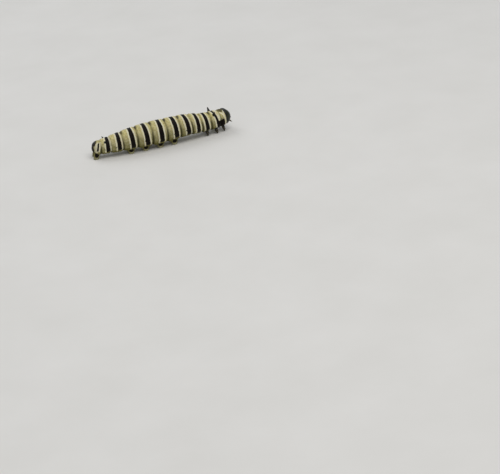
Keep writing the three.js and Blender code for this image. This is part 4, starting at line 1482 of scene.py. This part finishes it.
FLOOR_RADIUS = 1.2
FLOOR_SIDES = 64
LARVA_MIDDLE = Vector((0.0, 0.0, 0.0008))
LIGHTS = {
    "key": {"at": (0.02, -0.05, 0.12), "size": 0.12, "watts": 0.085, "colour": (1.0, 0.985, 0.96)},
    "back": {"at": (-0.03, 0.09, 0.09), "size": 0.1, "watts": 0.04, "colour": (0.97, 0.985, 1.0)},
}
ROOM_COLOUR = (0.9, 0.93, 1.0, 1.0)
ROOM_STRENGTH = 0.45
CAMERA_DISTANCE = 0.101
LENS_MM = 120.0
SENSOR_MM = 36.0
IMAGE_WIDTH = 500
IMAGE_HEIGHT = 474
YAW = 16.0
ELEVATION = 22.0
ROLL = 6.7
LARVA_PIXEL = (162.5, 131.5)


def add_floor():
    graph = Graph("floor")
    tone = graph.mix(graph.noise(0.25), srgb(214, 212, 206), srgb(224, 222, 217))
    graph.surface(Base_Color=tone, Roughness=0.75)
    mesh = bpy.data.meshes.new("floor")
    rim = [(FLOOR_RADIUS * math.cos(t), FLOOR_RADIUS * math.sin(t), 0.0) for t in full_turn(FLOOR_SIDES)]
    mesh.from_pydata(rim, [], [list(range(FLOOR_SIDES))])
    mesh.materials.append(graph.material)
    floor = bpy.data.objects.new("floor", mesh)
    bpy.context.scene.collection.objects.link(floor)


def add_light(name, at, size, watts, colour):
    data = bpy.data.lights.new(name, "AREA")
    data.shape = "DISK"
    data.size = size
    data.energy = watts
    data.color = colour
    lamp = bpy.data.objects.new(name, data)
    lamp.location = at
    lamp.rotation_mode = "QUATERNION"
    lamp.rotation_quaternion = (LARVA_MIDDLE - Vector(at)).to_track_quat("-Z", "Y")
    bpy.context.scene.collection.objects.link(lamp)


def add_room():
    """Soft light from all sides."""
    world = bpy.data.worlds.new("soft_room")
    world.use_nodes = True
    background = world.node_tree.nodes["Background"]
    background.inputs["Color"].default_value = ROOM_COLOUR
    background.inputs["Strength"].default_value = ROOM_STRENGTH
    bpy.context.scene.world = world


def add_camera():
    """A long lens at the photo's angle, turned so that the larva sits where the photo has it."""
    turns = ((-YAW, "Z"), (90 - ELEVATION, "X"), (-ROLL, "Z"))
    yaw, pitch, roll = (Matrix.Rotation(math.radians(angle), 3, axis) for angle, axis in turns)
    aimed = yaw @ pitch @ roll
    ahead = Vector((0, 0, -1))
    per_pixel = SENSOR_MM / LENS_MM / IMAGE_WIDTH
    offset_x = (LARVA_PIXEL[0] - IMAGE_WIDTH / 2) * per_pixel
    offset_y = (IMAGE_HEIGHT / 2 - LARVA_PIXEL[1]) * per_pixel
    seen = Vector((offset_x, offset_y, -1.0)).normalized()
    basis = aimed @ ahead.rotation_difference(seen).to_matrix().inverted()
    data = bpy.data.cameras.new("camera")
    data.lens = LENS_MM
    data.sensor_width = SENSOR_MM
    data.clip_start = 0.005
    data.clip_end = 10.0
    camera = bpy.data.objects.new("camera", data)
    camera.rotation_mode = "QUATERNION"
    camera.rotation_quaternion = basis.to_quaternion()
    camera.location = LARVA_MIDDLE - aimed @ ahead * CAMERA_DISTANCE
    bpy.context.scene.collection.objects.link(camera)
    bpy.context.scene.camera = camera


dress()
add_floor()
for light_name, light in LIGHTS.items():
    add_light(light_name, **light)
add_room()
add_camera()
bpy.context.scene.view_settings.view_transform = "Standard"
